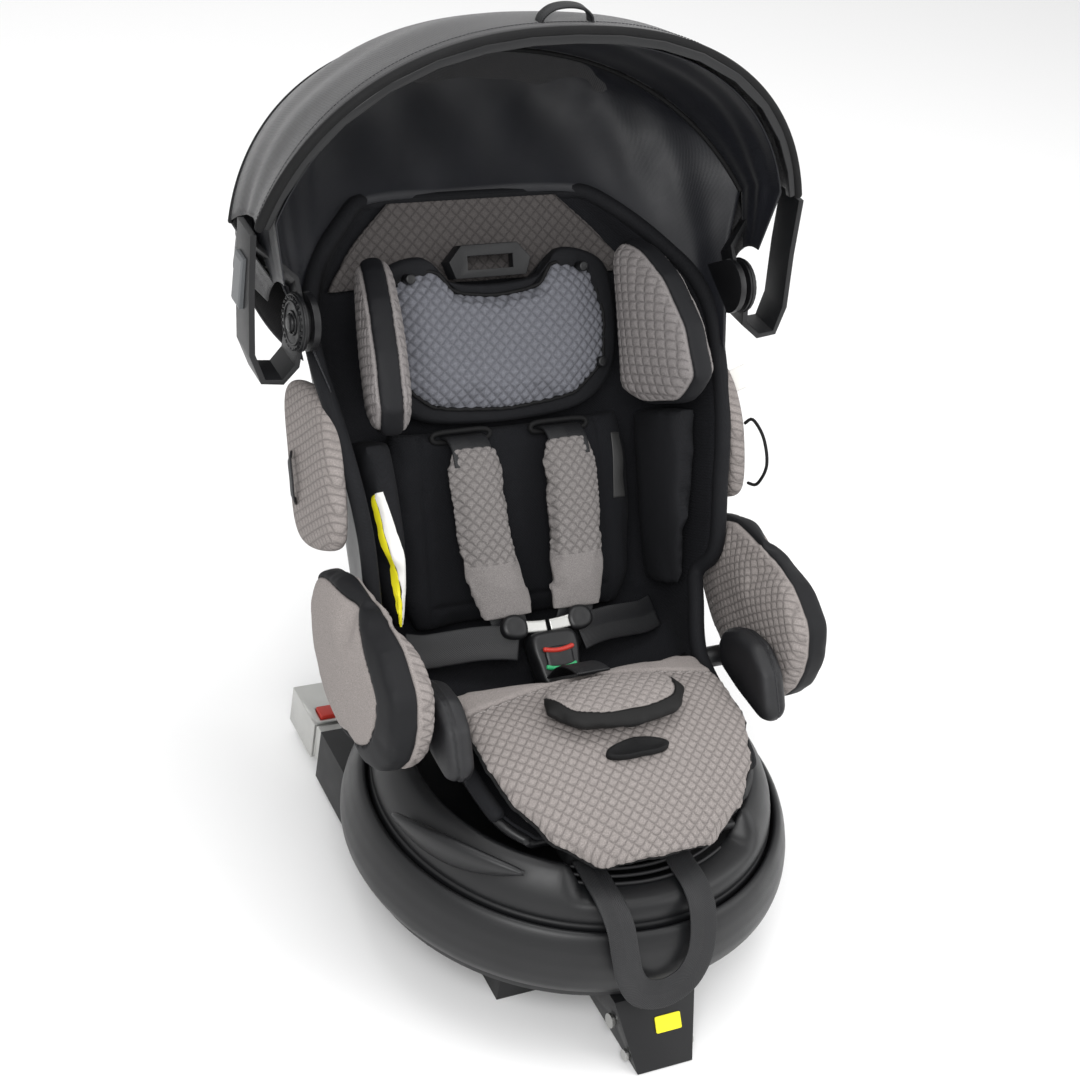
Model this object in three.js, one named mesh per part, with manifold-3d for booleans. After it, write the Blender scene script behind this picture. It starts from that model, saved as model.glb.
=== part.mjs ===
// Convertible car seat on a swivelling base: rear- and forward-facing shell with a five-point harness, an
// adjustable headrest, hip-level side shields, a folding two-bow hood, a support leg and anchor arms.
// Millimetres, +Z up, the seat faces -Y. Everything is drawn about the swivel axis, at the sled's underside, and
// the finished group is moved so that the origin lies under the middle of the whole.
import * as THREE from 'three';
import { mergeVertices } from 'three/addons/utils/BufferGeometryUtils.js';
import Module from 'manifold-3d';

const wasm = await Module();
wasm.setup();

// ---- driving dimensions ----
const GAP = 0.4; // clearance left between pieces that touch
const RECLINE = THREE.MathUtils.degToRad(30); // backrest's lean from the vertical
const BACK_FOOT = [118, 195]; // y, z where the backrest surface meets the seat
const SHELL_WALL = 7;
const RING_R = 198; // outer radius of the base ring
const RING_TOP = 120;
const SEAM_R = 177; // radius of the seam between ring and turntable
const HUB_R = 148;
const SLED_TOP = 59.7;
const CHEEK_X = 146; // half-width of the channel between the turntable's cheeks
const CHANNEL_FLOOR = 140;
const ROCKER = [40, 420]; // y, z of the centre of the recline arc
const ROCKER_R = 268;
const LEG_PIN = [-183, 24]; // y, z of the support leg's hinge
const ARM_X = 140; // half the spacing of the anchor arms
const HOOD_PIVOT = [216, 478]; // y, z of the hood's hinge
const HOOD_HALF = 259; // hood's half-width at its hem
const HOOD_RISE = 242; // hood's radius over its hinge, on the centre line
const HOOD_POWER = 2.3; // superellipse exponent of the hood's arch
const HOOD_HEM = 88; // radius at which the hood's sides end
const SHIELD_X = [176, 207]; // inner and outer face of a side shield
const BELT = 25; // adjuster webbing's width
const MIDDLE_Y = 113.1; // middle of the whole, front to back, behind the swivel axis

// ---- materials ----
function finish(colour, roughness, metalness = 0) {
  return new THREE.MeshStandardMaterial({ color: colour, roughness, metalness });
}
const BLACK_PLASTIC = finish('#17181a', 0.5);
const GREY_QUILT = finish('#8d8784', 0.9);
const COOL_QUILT = finish('#7f838c', 0.9);
const BLACK_MESH = finish('#141519', 0.95);
const BLACK_LEATHER = finish('#1b1c20', 0.6);
const HOOD_CLOTH = finish('#3b3b40', 0.85);
const WEBBING = finish('#1a1a1d', 0.8);
const RED = finish('#b3261e', 0.45);
const STEEL = finish('#a9abad', 0.35, 1);
const RUBBER = finish('#101011', 0.9);

const group = new THREE.Group();

function add(name, geometry, material) {
  const mesh = new THREE.Mesh(geometry, material);
  mesh.name = name;
  group.add(mesh);
  return mesh;
}

// ---- geometry helpers ----
const V = (x, y, z) => new THREE.Vector3(x, y, z);

// A point of the reclined back: s along the backrest's surface, p out of it towards the child.
function onBack(x, s, p) {
  const up = Math.cos(RECLINE);
  const lean = Math.sin(RECLINE);
  return V(x, BACK_FOOT[0] + s * lean - p * up, BACK_FOOT[1] + s * up + p * lean);
}

// Closed geometry from points and triangles, turned so that its faces point out.
function closed(points, triangles) {
  let volume = 0;
  for (const [a, b, c] of triangles) volume += points[a].dot(points[b].clone().cross(points[c]));
  const geometry = new THREE.BufferGeometry();
  const numbers = points.flatMap((p) => [p.x, p.y, p.z]);
  geometry.setAttribute('position', new THREE.Float32BufferAttribute(numbers, 3));
  geometry.setIndex(triangles.flatMap(([a, b, c]) => (volume < 0 ? [a, c, b] : [a, b, c])));
  return geometry;
}

// Skin over a row of closed rings with equal point counts, each end closed by a fan about its own middle.
function loft(rings) {
  const n = rings[0].length;
  const points = rings.flat();
  const triangles = [];
  for (let i = 0; i + 1 < rings.length; i += 1) {
    for (let j = 0; j < n; j += 1) {
      const k = (j + 1) % n;
      triangles.push([i * n + j, i * n + k, (i + 1) * n + j], [i * n + k, (i + 1) * n + k, (i + 1) * n + j]);
    }
  }
  for (const [ring, flip] of [[0, true], [rings.length - 1, false]]) {
    const middle = rings[ring].reduce((sum, p) => sum.clone().add(p), V(0, 0, 0)).divideScalar(n);
    points.push(middle);
    for (let j = 0; j < n; j += 1) {
      const a = ring * n + j;
      const b = ring * n + ((j + 1) % n);
      triangles.push(flip ? [b, a, points.length - 1] : [a, b, points.length - 1]);
    }
  }
  return closed(points, triangles);
}

// Cushion over an outline in u, v: edges eased, both faces crowned. place(u, v, w) gives the point.
function pillow(outline, depth, place, ease = 0.86) {
  const n = outline.length;
  const mid = outline.reduce((sum, [u, v]) => [sum[0] + u / n, sum[1] + v / n], [0, 0]);
  const ring = (scale, w) => outline.map(([u, v]) => (
    place(mid[0] + (u - mid[0]) * scale, mid[1] + (v - mid[1]) * scale, w)));
  const h = depth / 2;
  return loft([ring(ease, -h), ring(1, -h * 0.45), ring(1, h * 0.45), ring(ease, h)]);
}

// Wall over a grid of points, thick along the grid's own normals (to the side that sign chooses).
function wall(grid, thickness, sign = 1) {
  const rows = grid.length;
  const cols = grid[0].length;
  const at = (i, j) => grid[Math.min(rows - 1, Math.max(0, i))][Math.min(cols - 1, Math.max(0, j))];
  const back = grid.map((row, i) => row.map((p, j) => {
    const du = at(i, j + 1).clone().sub(at(i, j - 1));
    const dv = at(i + 1, j).clone().sub(at(i - 1, j));
    return p.clone().addScaledVector(du.cross(dv).normalize(), thickness * sign);
  }));
  const points = [...grid.flat(), ...back.flat()];
  const half = rows * cols;
  const id = (i, j, side) => side * half + i * cols + j;
  const triangles = [];
  const quad = (a, b, c, d) => triangles.push([a, b, c], [a, c, d]);
  for (let i = 0; i + 1 < rows; i += 1) {
    for (let j = 0; j + 1 < cols; j += 1) {
      quad(id(i, j, 0), id(i, j + 1, 0), id(i + 1, j + 1, 0), id(i + 1, j, 0));
      quad(id(i, j, 1), id(i + 1, j, 1), id(i + 1, j + 1, 1), id(i, j + 1, 1));
    }
    quad(id(i, 0, 0), id(i + 1, 0, 0), id(i + 1, 0, 1), id(i, 0, 1));
    quad(id(i, cols - 1, 0), id(i, cols - 1, 1), id(i + 1, cols - 1, 1), id(i + 1, cols - 1, 0));
  }
  for (let j = 0; j + 1 < cols; j += 1) {
    quad(id(0, j, 0), id(0, j, 1), id(0, j + 1, 1), id(0, j + 1, 0));
    quad(id(rows - 1, j, 0), id(rows - 1, j + 1, 0), id(rows - 1, j + 1, 1), id(rows - 1, j, 1));
  }
  return closed(points, triangles);
}

// Flat strip along a path; across(i) gives its width direction, and the thickness stands square to both.
function strip(path, width, thickness, across) {
  const rings = path.map((p, i) => {
    const along = path[Math.min(i + 1, path.length - 1)].clone().sub(path[Math.max(i - 1, 0)]).normalize();
    const side = across(along).clone().normalize();
    const out = along.clone().cross(side).normalize();
    const corner = (a, b) => (
      p.clone().addScaledVector(side, (a * width) / 2).addScaledVector(out, (b * thickness) / 2));
    return [corner(-1, -1), corner(1, -1), corner(1, 1), corner(-1, 1)];
  });
  return loft(rings);
}

const ALONG_X = () => V(1, 0, 0);

function box(x0, x1, y0, y1, z0, z1) {
  const geometry = new THREE.BoxGeometry(x1 - x0, y1 - y0, z1 - z0);
  geometry.translate((x0 + x1) / 2, (y0 + y1) / 2, (z0 + z1) / 2);
  return geometry;
}

function rodX(x0, x1, y, z, r, segments = 16) {
  const geometry = new THREE.CylinderGeometry(r, r, x1 - x0, segments);
  geometry.rotateZ(Math.PI / 2);
  geometry.translate((x0 + x1) / 2, y, z);
  return geometry;
}

function rodZ(r, z0, z1, segments = 32) {
  const geometry = new THREE.CylinderGeometry(r, r, z1 - z0, segments);
  geometry.rotateX(Math.PI / 2);
  geometry.translate(0, 0, (z0 + z1) / 2);
  return geometry;
}

// Plate with a YZ outline between two x values.
function plate(outline, x0, x1) {
  const shape = new THREE.Shape(outline.map(([y, z]) => new THREE.Vector2(y, z)));
  const geometry = new THREE.ExtrudeGeometry(shape, { depth: x1 - x0, bevelEnabled: false });
  geometry.applyMatrix4(new THREE.Matrix4().makeBasis(V(0, 1, 0), V(0, 0, 1), V(1, 0, 0)));
  geometry.translate(x0, 0, 0);
  return geometry;
}

function lathe(profile, segments) {
  const geometry = new THREE.LatheGeometry(profile.map(([r, z]) => new THREE.Vector2(r, z)), segments);
  geometry.rotateX(Math.PI / 2);
  return geometry;
}

function solid(geometry) {
  const bare = new THREE.BufferGeometry();
  bare.setAttribute('position', geometry.getAttribute('position').clone());
  if (geometry.index) bare.setIndex(geometry.index.clone());
  const merged = mergeVertices(bare, 1e-4);
  const triangles = [];
  const index = merged.index.array;
  for (let i = 0; i < index.length; i += 3) {
    const [a, b, c] = [index[i], index[i + 1], index[i + 2]];
    if (a !== b && b !== c && c !== a) triangles.push(a, b, c);
  }
  return new wasm.Manifold(new wasm.Mesh({
    numProp: 3,
    vertProperties: new Float32Array(merged.getAttribute('position').array),
    triVerts: new Uint32Array(triangles),
  }));
}

function shaped(manifold) {
  const mesh = manifold.getMesh();
  const geometry = new THREE.BufferGeometry();
  geometry.setAttribute('position', new THREE.BufferAttribute(new Float32Array(mesh.vertProperties), 3));
  geometry.setIndex(new THREE.BufferAttribute(new Uint32Array(mesh.triVerts), 1));
  return geometry;
}

const join = (first, ...rest) => rest.reduce((sum, g) => sum.add(solid(g)), solid(first));
const cut = (body, ...tools) => tools.reduce((sum, g) => sum.subtract(solid(g)), body);
const SIDES = [['left', -1], ['right', 1]];
// Between x values on one side of the seat, whichever way that side lies.
const span = (side, a, b) => (side < 0 ? [-b, -a] : [a, b]);

// ---- base: sled, ring, bearing ----
function sled() {
  const channel = box(-34, 34, -130, 200, -5, 42);
  const body = join(
    box(-105, 105, -115, 190, 0, SLED_TOP),
    box(-158, -100, 30, 185, 6, SLED_TOP),
    box(100, 158, 30, 185, 6, SLED_TOP),
    rodZ(HUB_R, SLED_TOP - 2, 82),
  );
  const tunnels = SIDES.map(([, side]) => box(side * ARM_X - 14, side * ARM_X + 14, 34, 195, 14, 50));
  const hubWell = lathe([[32, 60], [106, 60], [106, 90], [32, 90], [32, 60]], 24);
  return shaped(cut(body, channel, hubWell, rodZ(22, 30, 90, 24), ...tunnels));
}
add('base_sled', sled(), BLACK_PLASTIC);
add('base_ring', lathe([
  [160, 60], [186, 60], [RING_R - 2, 68], [RING_R, 76], [RING_R - 1, 92], [188, RING_TOP], [184, 124],
  [180, 122], [179, 109], [160, 107], [160, 102], [182, 102], [190, 88], [188, 70], [160, 68], [160, 60],
], 48), BLACK_PLASTIC);
add('swivel_bearing', lathe([[112, 82.4], [146, 82.4], [146, 95.6], [112, 95.6], [112, 82.4]], 32), STEEL);

// ---- turntable ----
// Block under the recline arc, flat at the top.
function arcBlock(half, radius, from, to, steps, top) {
  const arc = Array.from({ length: steps + 1 }, (_, i) => {
    const angle = THREE.MathUtils.degToRad(from + ((to - from) * i) / steps);
    return [ROCKER[0] + radius * Math.sin(angle), ROCKER[1] - radius * Math.cos(angle)];
  });
  return plate([...arc, [arc[steps][0], top], [arc[0][0], top]], -half, half);
}

function turntable() {
  const dome = lathe([
    [0, 96], [156, 96], [156, 110], [176, 110], [SEAM_R, 122], [174, 136], [166, 150], [154, 162], [140, 169],
    [0, 172],
  ], 48);
  const hollow = lathe([[30, 90], [106, 90], [106, 132], [30, 132], [30, 90]], 24);
  const channel = box(-CHEEK_X, CHEEK_X, -200, 200, CHANNEL_FLOOR, 200);
  const channelled = cut(join(dome, rodZ(20, 50, 98, 24)), hollow, channel);
  const cradleBlock = solid(box(-90, 90, -40, 120, CHANNEL_FLOOR - 2, 166));
  const cradle = cut(cradleBlock, arcBlock(95, ROCKER_R + GAP, -30, 30, 12, 300));
  return shaped(channelled.add(cradle));
}

add('turntable_dome', turntable(), BLACK_PLASTIC);

const leverPath = Array.from({ length: 9 }, (_, i) => {
  const t = i / 8;
  const angle = THREE.MathUtils.degToRad(188 + 40 * t);
  const r = 179 - 4 * t;
  return V(r * Math.cos(angle), r * Math.sin(angle), 148 + 20 * t);
});
const leverRings = leverPath.map((p, i) => {
  const height = 5 + 10 * Math.sin((Math.PI * (i + 0.5)) / 9);
  const out = V(p.x, p.y, 0).normalize();
  const ring = [[-4, -height], [4, -height * 0.7], [4, height * 0.7], [-4, height]];
  return ring.map(([a, b]) => p.clone().addScaledVector(out, a).add(V(0, 0, b)));
});
add('swivel_lever', loft(leverRings), BLACK_PLASTIC);

// ---- support leg, folded back under the sled ----
function legHousing() {
  const back = -115.5;
  const ring = (z, half, front) => [V(-half, front, z), V(half, front, z), V(half, back, z), V(-half, back, z)];
  const outside = loft([ring(0.5, 26, -225), ring(50, 38, -187)]);
  const inside = loft([ring(-2, 19.5, -216.5), ring(41, 19.5, -189)].map((r) => r.map((p) => (
    p.y > -120 ? p.clone().setY(-100) : p))));
  const holes = [rodX(-60, 60, LEG_PIN[0], LEG_PIN[1], 4.4), rodX(-60, 60, -208, 8, 2.9)];
  return shaped(cut(solid(outside), inside, ...holes));
}
add('leg_housing', legHousing(), BLACK_PLASTIC);
// Each pin: name, y, z, radius of its shaft, radius of its heads, half the length between the heads.
const PINS = [['leg_pivot_pin', ...LEG_PIN, 4, 6.5, 33.9], ['leg_stop_pin', -208, 8, 2.5, 5, 29.8]];
for (const [name, y, z, r, head, reach] of PINS) {
  const shaft = rodX(-reach - 1, reach + 1, y, z, r);
  const heads = [rodX(reach, reach + 2.5, y, z, head), rodX(-reach - 2.5, -reach, y, z, head)];
  add(name, shaped(join(shaft, ...heads)), STEEL);
}
const legTube = join(box(-18, 18, LEG_PIN[0], 150, 11, 37), rodX(-18, 18, ...LEG_PIN, 13, 24));
const buttonSlot = box(-8.4, 8.4, 99.6, 125.4, 8, 16);
const legBore = rodX(-20, 20, ...LEG_PIN, 4.4);
add('leg_tube', shaped(cut(legTube, box(-15, 15, -150, 160, 14, 34), legBore, buttonSlot)), STEEL);
add('leg_foot', shaped(join(box(-30, 30, 151, 188, 8, 40), box(-14.6, 14.6, -140, 160, 14.4, 33.6))), STEEL);
add('leg_button', box(-8, 8, 100, 125, 7.8, 12), RED);

// ---- anchor arms ----
for (const [label, side] of SIDES) {
  const x = side * ARM_X;
  const arm = join(box(x - 13.6, x + 13.6, 36, 210, 14.4, 49.6), box(x - 17, x + 17, 204, 262, 12, 52));
  const jaw = box(x - 6, x + 6, 240, 270, 24, 40);
  add(`anchor_arm_${label}`, shaped(cut(arm, jaw, box(x - 8, x + 8, 210, 226, 45, 60))), STEEL);
  add(`anchor_button_${label}`, box(x - 7.6, x + 7.6, 210.4, 225.6, 48.4, 55), RED);
}

// ---- seat shell ----
// Each station: base y, z; direction of the side walls; half-width at the floor and at the rim; wall height.
const UP = [0, 1];
const TILT = [-Math.cos(RECLINE), Math.sin(RECLINE)];
const backStation = (s, p, floor, rim, height) => {
  const base = onBack(0, s, p);
  return [base.y, base.z, TILT, floor, rim, height];
};
const STATIONS = [
  [-106, 170, UP, 92, 100, 8],
  [-76, 172, UP, 110, 120, 14],
  [0, 176, UP, 118, 128, 24],
  [42, 178, UP, 122, 132, 32],
  [90, 179, [-0.1, 0.995], 130, 146, 60],
  [150, 190, [-0.6, 0.8], 136, 156, 76],
  backStation(60, -34, 140, 165, 92),
  backStation(120, -34, 145, 170, 100),
  backStation(190, -36, 150, 180, 98),
  backStation(285, -42, 152, 189, 74),
  backStation(345, -49, 128, 160, 40),
  backStation(390, -50, 92, 112, 12),
];
const ACROSS = [[-1, 1, 1], [-1, 1, 0.62], [-1, 0.45, 0.26], [-1, 0, 0.06], [-0.62, 0, 0], [0, 0, 0]];
const PROFILE = [...ACROSS, ...ACROSS.slice(0, -1).reverse().map(([a, b, c]) => [-a, b, c])];
const shellGrid = STATIONS.map(([y, z, [dy, dz], floor, rim, height]) => PROFILE.map(([side, flare, rise]) => (
  V(side * (floor + (rim - floor) * flare), y + dy * height * rise, z + dz * height * rise))));
const STRUT_END = 168.5; // just short of the shield pads
const struts = SIDES.map(([, side]) => box(...span(side, 128, STRUT_END), 34, 54, 190, 206));
const adjuster = cut(solid(box(-66, 42, -116, -94, 143, 168)), box(-22.4, -1.6, -120, -102, 147, 157));
add('seat_shell', shaped(join(wall(shellGrid, SHELL_WALL, -1), ...struts).add(adjuster)), BLACK_PLASTIC);
add('seat_rocker', arcBlock(80, ROCKER_R, -16, 16, 8, 164.5), BLACK_PLASTIC);

// ---- seat padding ----
// Rows of the cushion from back to front: y, z, half-width.
const APRON = [
  [34, 222, 122], [-20, 232, 129], [-70, 228, 128], [-110, 213, 116], [-140, 190, 92], [-157, 167, 55],
];
const apron = APRON.map(([y, z, half]) => [-1, -0.7, -0.35, 0, 0.35, 0.7, 1].map((u) => (
  V(u * half, y + 10 * u * u * (y < -60 ? 1 : 0), z - 10 * u * u))));
add('seat_cushion', wall(apron, 18, 1), GREY_QUILT);
const PAD_S = [12, 40, 100, 150, 192];
const backPad = loft(PAD_S.map((s, i) => {
  const half = [104, 116, 121, 122, 118][i];
  const lift = [-8, -2, 0, 0, -4][i];
  const section = [
    [-1, -24], [-1, lift - 6], [-0.92, lift], [0, lift - 3], [0.92, lift], [1, lift - 6], [1, -24],
  ];
  return section.map(([u, p]) => onBack(u * half, s, p));
}));
add('backrest_pad', shaped(cut(solid(backPad), ...SIDES.map(([, side]) => {
  const slot = box(-24, 24, -40, 40, -5, 5);
  slot.rotateX(RECLINE * -1);
  const at = onBack(side * 48, 180, -10);
  return slot.translate(at.x, at.y, at.z);
}))), BLACK_MESH);
const coverRow = (s, p, half) => [-1, -0.6, -0.2, 0.2, 0.6, 1].map((u) => onBack(u * half, s, p + 4 * u * u));
const coverRows = [[342, 112], [364, 102], [386, 84]].map(([s, half]) => coverRow(s, -45, half));
add('shell_top_cover', wall(coverRows, 6, 1), GREY_QUILT);
for (const [label, side] of SIDES) {
  const bolster = [[28, 126, 142, 44], [90, 126, 148, 60], [150, 127, 158, 60], [190, 128, 164, 54]];
  add(`side_bolster_${label}`, loft(bolster.map(([s, inner, outer, top]) => [
    onBack(side * inner, s, -16),
    onBack(side * (inner - 1), s, top * 0.5),
    onBack(side * (inner + 9), s, top - 3),
    onBack(side * (outer - 3), s, top),
    onBack(side * outer, s, top * 0.5),
    onBack(side * (outer - 9), s, -6),
  ])), BLACK_MESH);
  const thigh = [
    [-72, 222], [-66, 208], [-20, 209], [15, 213], [28, 228], [25, 248], [5, 262], [-25, 266], [-50, 254],
  ];
  add(`thigh_bolster_${label}`, pillow(thigh, 27, (y, z, w) => V(side * (147 + w), y, z)), BLACK_LEATHER);
  const coverOutline = [[112, 62], [185, 62], [232, 44], [244, -8], [238, -36], [112, -24]].map(([s, p]) => {
    const at = onBack(0, s, p);
    return [at.y, at.z];
  });
  add(`side_cover_${label}`, plate(coverOutline, ...span(side, 198, 202)), GREY_QUILT);
}

// ---- side shields at hip height ----
const SHIELD = [
  [-45, 225], [-49, 255], [-40, 285], [-10, 304], [40, 311], [100, 308], [138, 290], [148, 252], [130, 215],
  [95, 188], [50, 177], [0, 184], [-30, 200],
];
const shieldSplit = SHIELD_X[0] + 17;
const PAD_BULGE = 14; // how far the pad's front half stands further in than its back
const bulge = (y, w) => (w < 0 ? PAD_BULGE * THREE.MathUtils.clamp((70 - y) / 90, 0, 1) : 0);
for (const [label, side] of SIDES) {
  const half = (x0, x1, inward) => (
    pillow(SHIELD, x1 - x0, (y, z, w) => V(side * ((x0 + x1) / 2 + w - inward(y, w)), y, z), 0.9));
  add(`shield_pad_${label}`, half(SHIELD_X[0], shieldSplit, bulge), GREY_QUILT);
  add(`shield_shell_${label}`, half(shieldSplit + GAP, SHIELD_X[1], () => 0), BLACK_LEATHER);
}

// ---- headrest ----
const HEAD_OUTLINE = [
  [-70, 206], [0, 200], [70, 206], [104, 232], [112, 275], [104, 322], [64, 336], [42, 316], [0, 311],
  [-42, 316], [-64, 336], [-104, 322], [-112, 275], [-104, 232],
];
const scaled = (outline, k) => outline.map(([x, s]) => [x * k, 270 + (s - 270) * k]);
const headPlate = loft([-32, -24].map((p) => HEAD_OUTLINE.map(([x, s]) => onBack(x, s, p))));
add('headrest_shell', headPlate, BLACK_PLASTIC);
add('headrest_pad', loft([[-23.6, 0.96], [-12, 1], [-3, 0.93], [0, 0.8]].map(([p, k]) => (
  scaled(HEAD_OUTLINE, k).map(([x, s]) => onBack(x, s, p + (p > -20 ? (270 - s) * 0.06 : 0)))))), COOL_QUILT);
// Each wing leans outwards as it comes forward, in front of the pad's edge.
const WING = [
  [206, 2], [193, 30], [194, 74], [216, 96], [264, 88], [308, 66], [336, 40], [346, 18], [336, 4], [268, 3],
];
for (const [label, side] of SIDES) {
  const wing = pillow(WING, 38, (s, p, w) => onBack(side * (120 + 0.28 * p + w), s, p), 0.84);
  add(`headrest_wing_${label}`, wing, GREY_QUILT);
}
add('headrest_handle', shaped(cut(
  solid(loft([[-23.6, 1], [-14, 0.9]].map(([p, k]) => (
    [[-38, 319], [38, 319], [44, 334], [30, 348], [-30, 348], [-44, 334]].map(([x, s]) => onBack(x * k, s, p)))))),
  loft([-40, 0].map((p) => [[-22, 326], [22, 326], [22, 338], [-22, 338]].map(([x, s]) => onBack(x, s, p)))),
)), BLACK_PLASTIC);

// ---- harness ----
const HARNESS = [[176, 17, 46], [150, 19, 46], [100, 24, 44], [60, 29, 40], [22, 36, 34]];
for (const [label, side] of SIDES) {
  const pad = HARNESS.map(([s, p, x], i) => {
    const half = [24, 32, 34, 33, 28][i];
    const section = [[-1, -4], [-0.9, 3], [0, 6], [0.9, 3], [1, -4], [0, -5]];
    return section.map(([u, w]) => onBack(side * x + u * half, s, p + w));
  });
  add(`harness_pad_${label}`, loft(pad), GREY_QUILT);
  const upper = [[180, -16], [180, 2], [181, 8]].map(([s, p]) => onBack(side * 47, s + 1, p));
  add(`shoulder_strap_${label}`, strip(upper, 38, 2.4, ALONG_X), WEBBING);
  const lap = [[42, 84, 212], [72, 94, 206], [104, 102, 203]].map(([x, y, z]) => V(side * x, y, z));
  add(`lap_strap_${label}`, strip(lap, 26, 2.4, () => V(0, 0.5, 0.86)), WEBBING);
}
// The buckle lies in the hollow between cushion and backrest: u across, v along it, w out of its face.
const BUCKLE_AT = [66, 207];
const BUCKLE_AXIS = [0.75, 0.66];
const onBuckle = (u, v, w) => V(
  u, BUCKLE_AT[0] + v * BUCKLE_AXIS[0] - w * BUCKLE_AXIS[1], BUCKLE_AT[1] + v * BUCKLE_AXIS[1] + w * BUCKLE_AXIS[0]);
const buckleOutline = [[-16, -25], [16, -25], [21, -8], [20, 22], [-20, 22], [-21, -8]];
const buckleRing = (k, w) => buckleOutline.map(([u, v]) => onBuckle(u * k, v * k, w));
const buckle = loft([buckleRing(0.92, -11), buckleRing(1, -6), buckleRing(1, 6), buckleRing(0.9, 11)]);
const buttonBlock = (margin, low) => loft([low, 16].map((w) => (
  [[-11, -6], [11, -6], [11, 10], [-11, 10]].map(([u, v]) => onBuckle(
    u + Math.sign(u) * margin, v + Math.sign(v) * margin, Math.min(w, 12.5 + margin * 9))))));
add('buckle_body', shaped(cut(solid(buckle), buttonBlock(0.5, 2))), BLACK_PLASTIC);
add('buckle_button', buttonBlock(0, 7), RED);
const tongue = [-36, -18, 0, 18, 36].map((u) => onBuckle(u, 28 + (u * u) / 400, 0));
add('buckle_tongue', strip(tongue, 9, 3, () => onBuckle(0, 1, 0).sub(onBuckle(0, 0, 0))), STEEL);

const CROTCH = [
  [-66, 0], [-58, 24], [-28, 34], [0, 37], [28, 34], [58, 24], [66, 0], [48, -26], [0, -36], [-48, -26],
];
add('crotch_pad', pillow(CROTCH, 15, (x, y, w) => V(x, -40 + y, 245 + w - (y * 4) / 40)), GREY_QUILT);
const crotchStrap = [[0, 241], [16, 237], [30, 230], [39, 219], [41, 209]].map(([y, z]) => V(0, y, z));
add('crotch_strap', strip(crotchStrap, 32, 2.4, ALONG_X), WEBBING);

// ---- adjuster under the seat's front lip ----
add('recline_handle', box(48, 92, -120, -88, 150, 157), BLACK_PLASTIC);
add('adjuster_button', box(-22, -2, -118.5, -107, 147.4, 156.6), BLACK_PLASTIC);
const LOOP = [
  [-50, -116.4, 151], [-50, -142, 149], [-50, -165, 147], [-49, -184, 138], [-47, -197, 118], [-42, -204, 98],
  [-30, -208, 82], [-10, -209, 76], [9, -208, 84], [20, -204, 100], [25, -197, 118], [27, -184, 138], [28, -165, 147],
  [28, -142, 149], [28, -116.4, 151],
].map(([x, y, z]) => V(x, y, z));
const outOfLoop = (along) => V(0, -0.9, 0.45).cross(along);
add('adjuster_strap', strip(LOOP, BELT, 2.2, outOfLoop), WEBBING);

// ---- hood ----
// Radius of the arch about the hinge at x, for an arch drawn in by inset.
function archRadius(x, inset) {
  const u = Math.min(1, Math.abs(x) / (HOOD_HALF - inset));
  return (HOOD_RISE - inset) * (1 - u ** HOOD_POWER) ** (1 / HOOD_POWER);
}

// Part of the hood between two angles back from the vertical, as a wall of revolution about the hinge.
function hoodPart(from, to, inset, thickness, steps) {
  const edge = (HOOD_HALF - inset) * (1 - (HOOD_HEM / (HOOD_RISE - inset)) ** HOOD_POWER) ** (1 / HOOD_POWER);
  const stops = [0, 0.16, 0.32, 0.48, 0.64, 0.78, 0.89, 0.96, 1];
  const xs = [...stops.slice(1).reverse().map((t) => -t), ...stops].map((t) => t * edge);
  const grid = Array.from({ length: steps + 1 }, (_, i) => {
    const angle = THREE.MathUtils.degToRad(from + ((to - from) * i) / steps);
    return xs.map((x) => {
      const r = archRadius(x, inset);
      return V(x, HOOD_PIVOT[0] + r * Math.sin(angle), HOOD_PIVOT[1] + r * Math.cos(angle));
    });
  });
  return wall(grid, thickness, -1);
}
add('front_bow', hoodPart(-1.5, 3, 0, 8, 1), BLACK_PLASTIC);
add('hood_front_panel', hoodPart(3.4, 43, 0, 3, 5), HOOD_CLOTH);
let midBow = solid(hoodPart(43.4, 46.6, 6, 7, 1));
add('hood_rear_panel', hoodPart(47, 84, 6, 3, 5), HOOD_CLOTH);
add('rear_bow', hoodPart(84.4, 88, 15, 6, 1), BLACK_PLASTIC);
// The hoop stands on the crown of the hood, over its front bow.
const crown = V(0, 237, HOOD_PIVOT[1] + HOOD_RISE + 1.5);
const hoopPath = new THREE.CatmullRomCurve3(
  [[-22, 0], [-16, 9], [0, 12], [16, 9], [22, 0]].map(([x, z]) => V(x, 0, z).add(crown)));
const hoopSection = [[-1.5, -5], [1.5, -5], [1.5, 5], [-1.5, 5]];
const hoopShape = new THREE.Shape(hoopSection.map(([a, b]) => new THREE.Vector2(a, b)));
const hoop = new THREE.ExtrudeGeometry(hoopShape, { steps: 8, extrudePath: hoopPath, bevelEnabled: false });
add('hood_loop', hoop, WEBBING);

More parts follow.
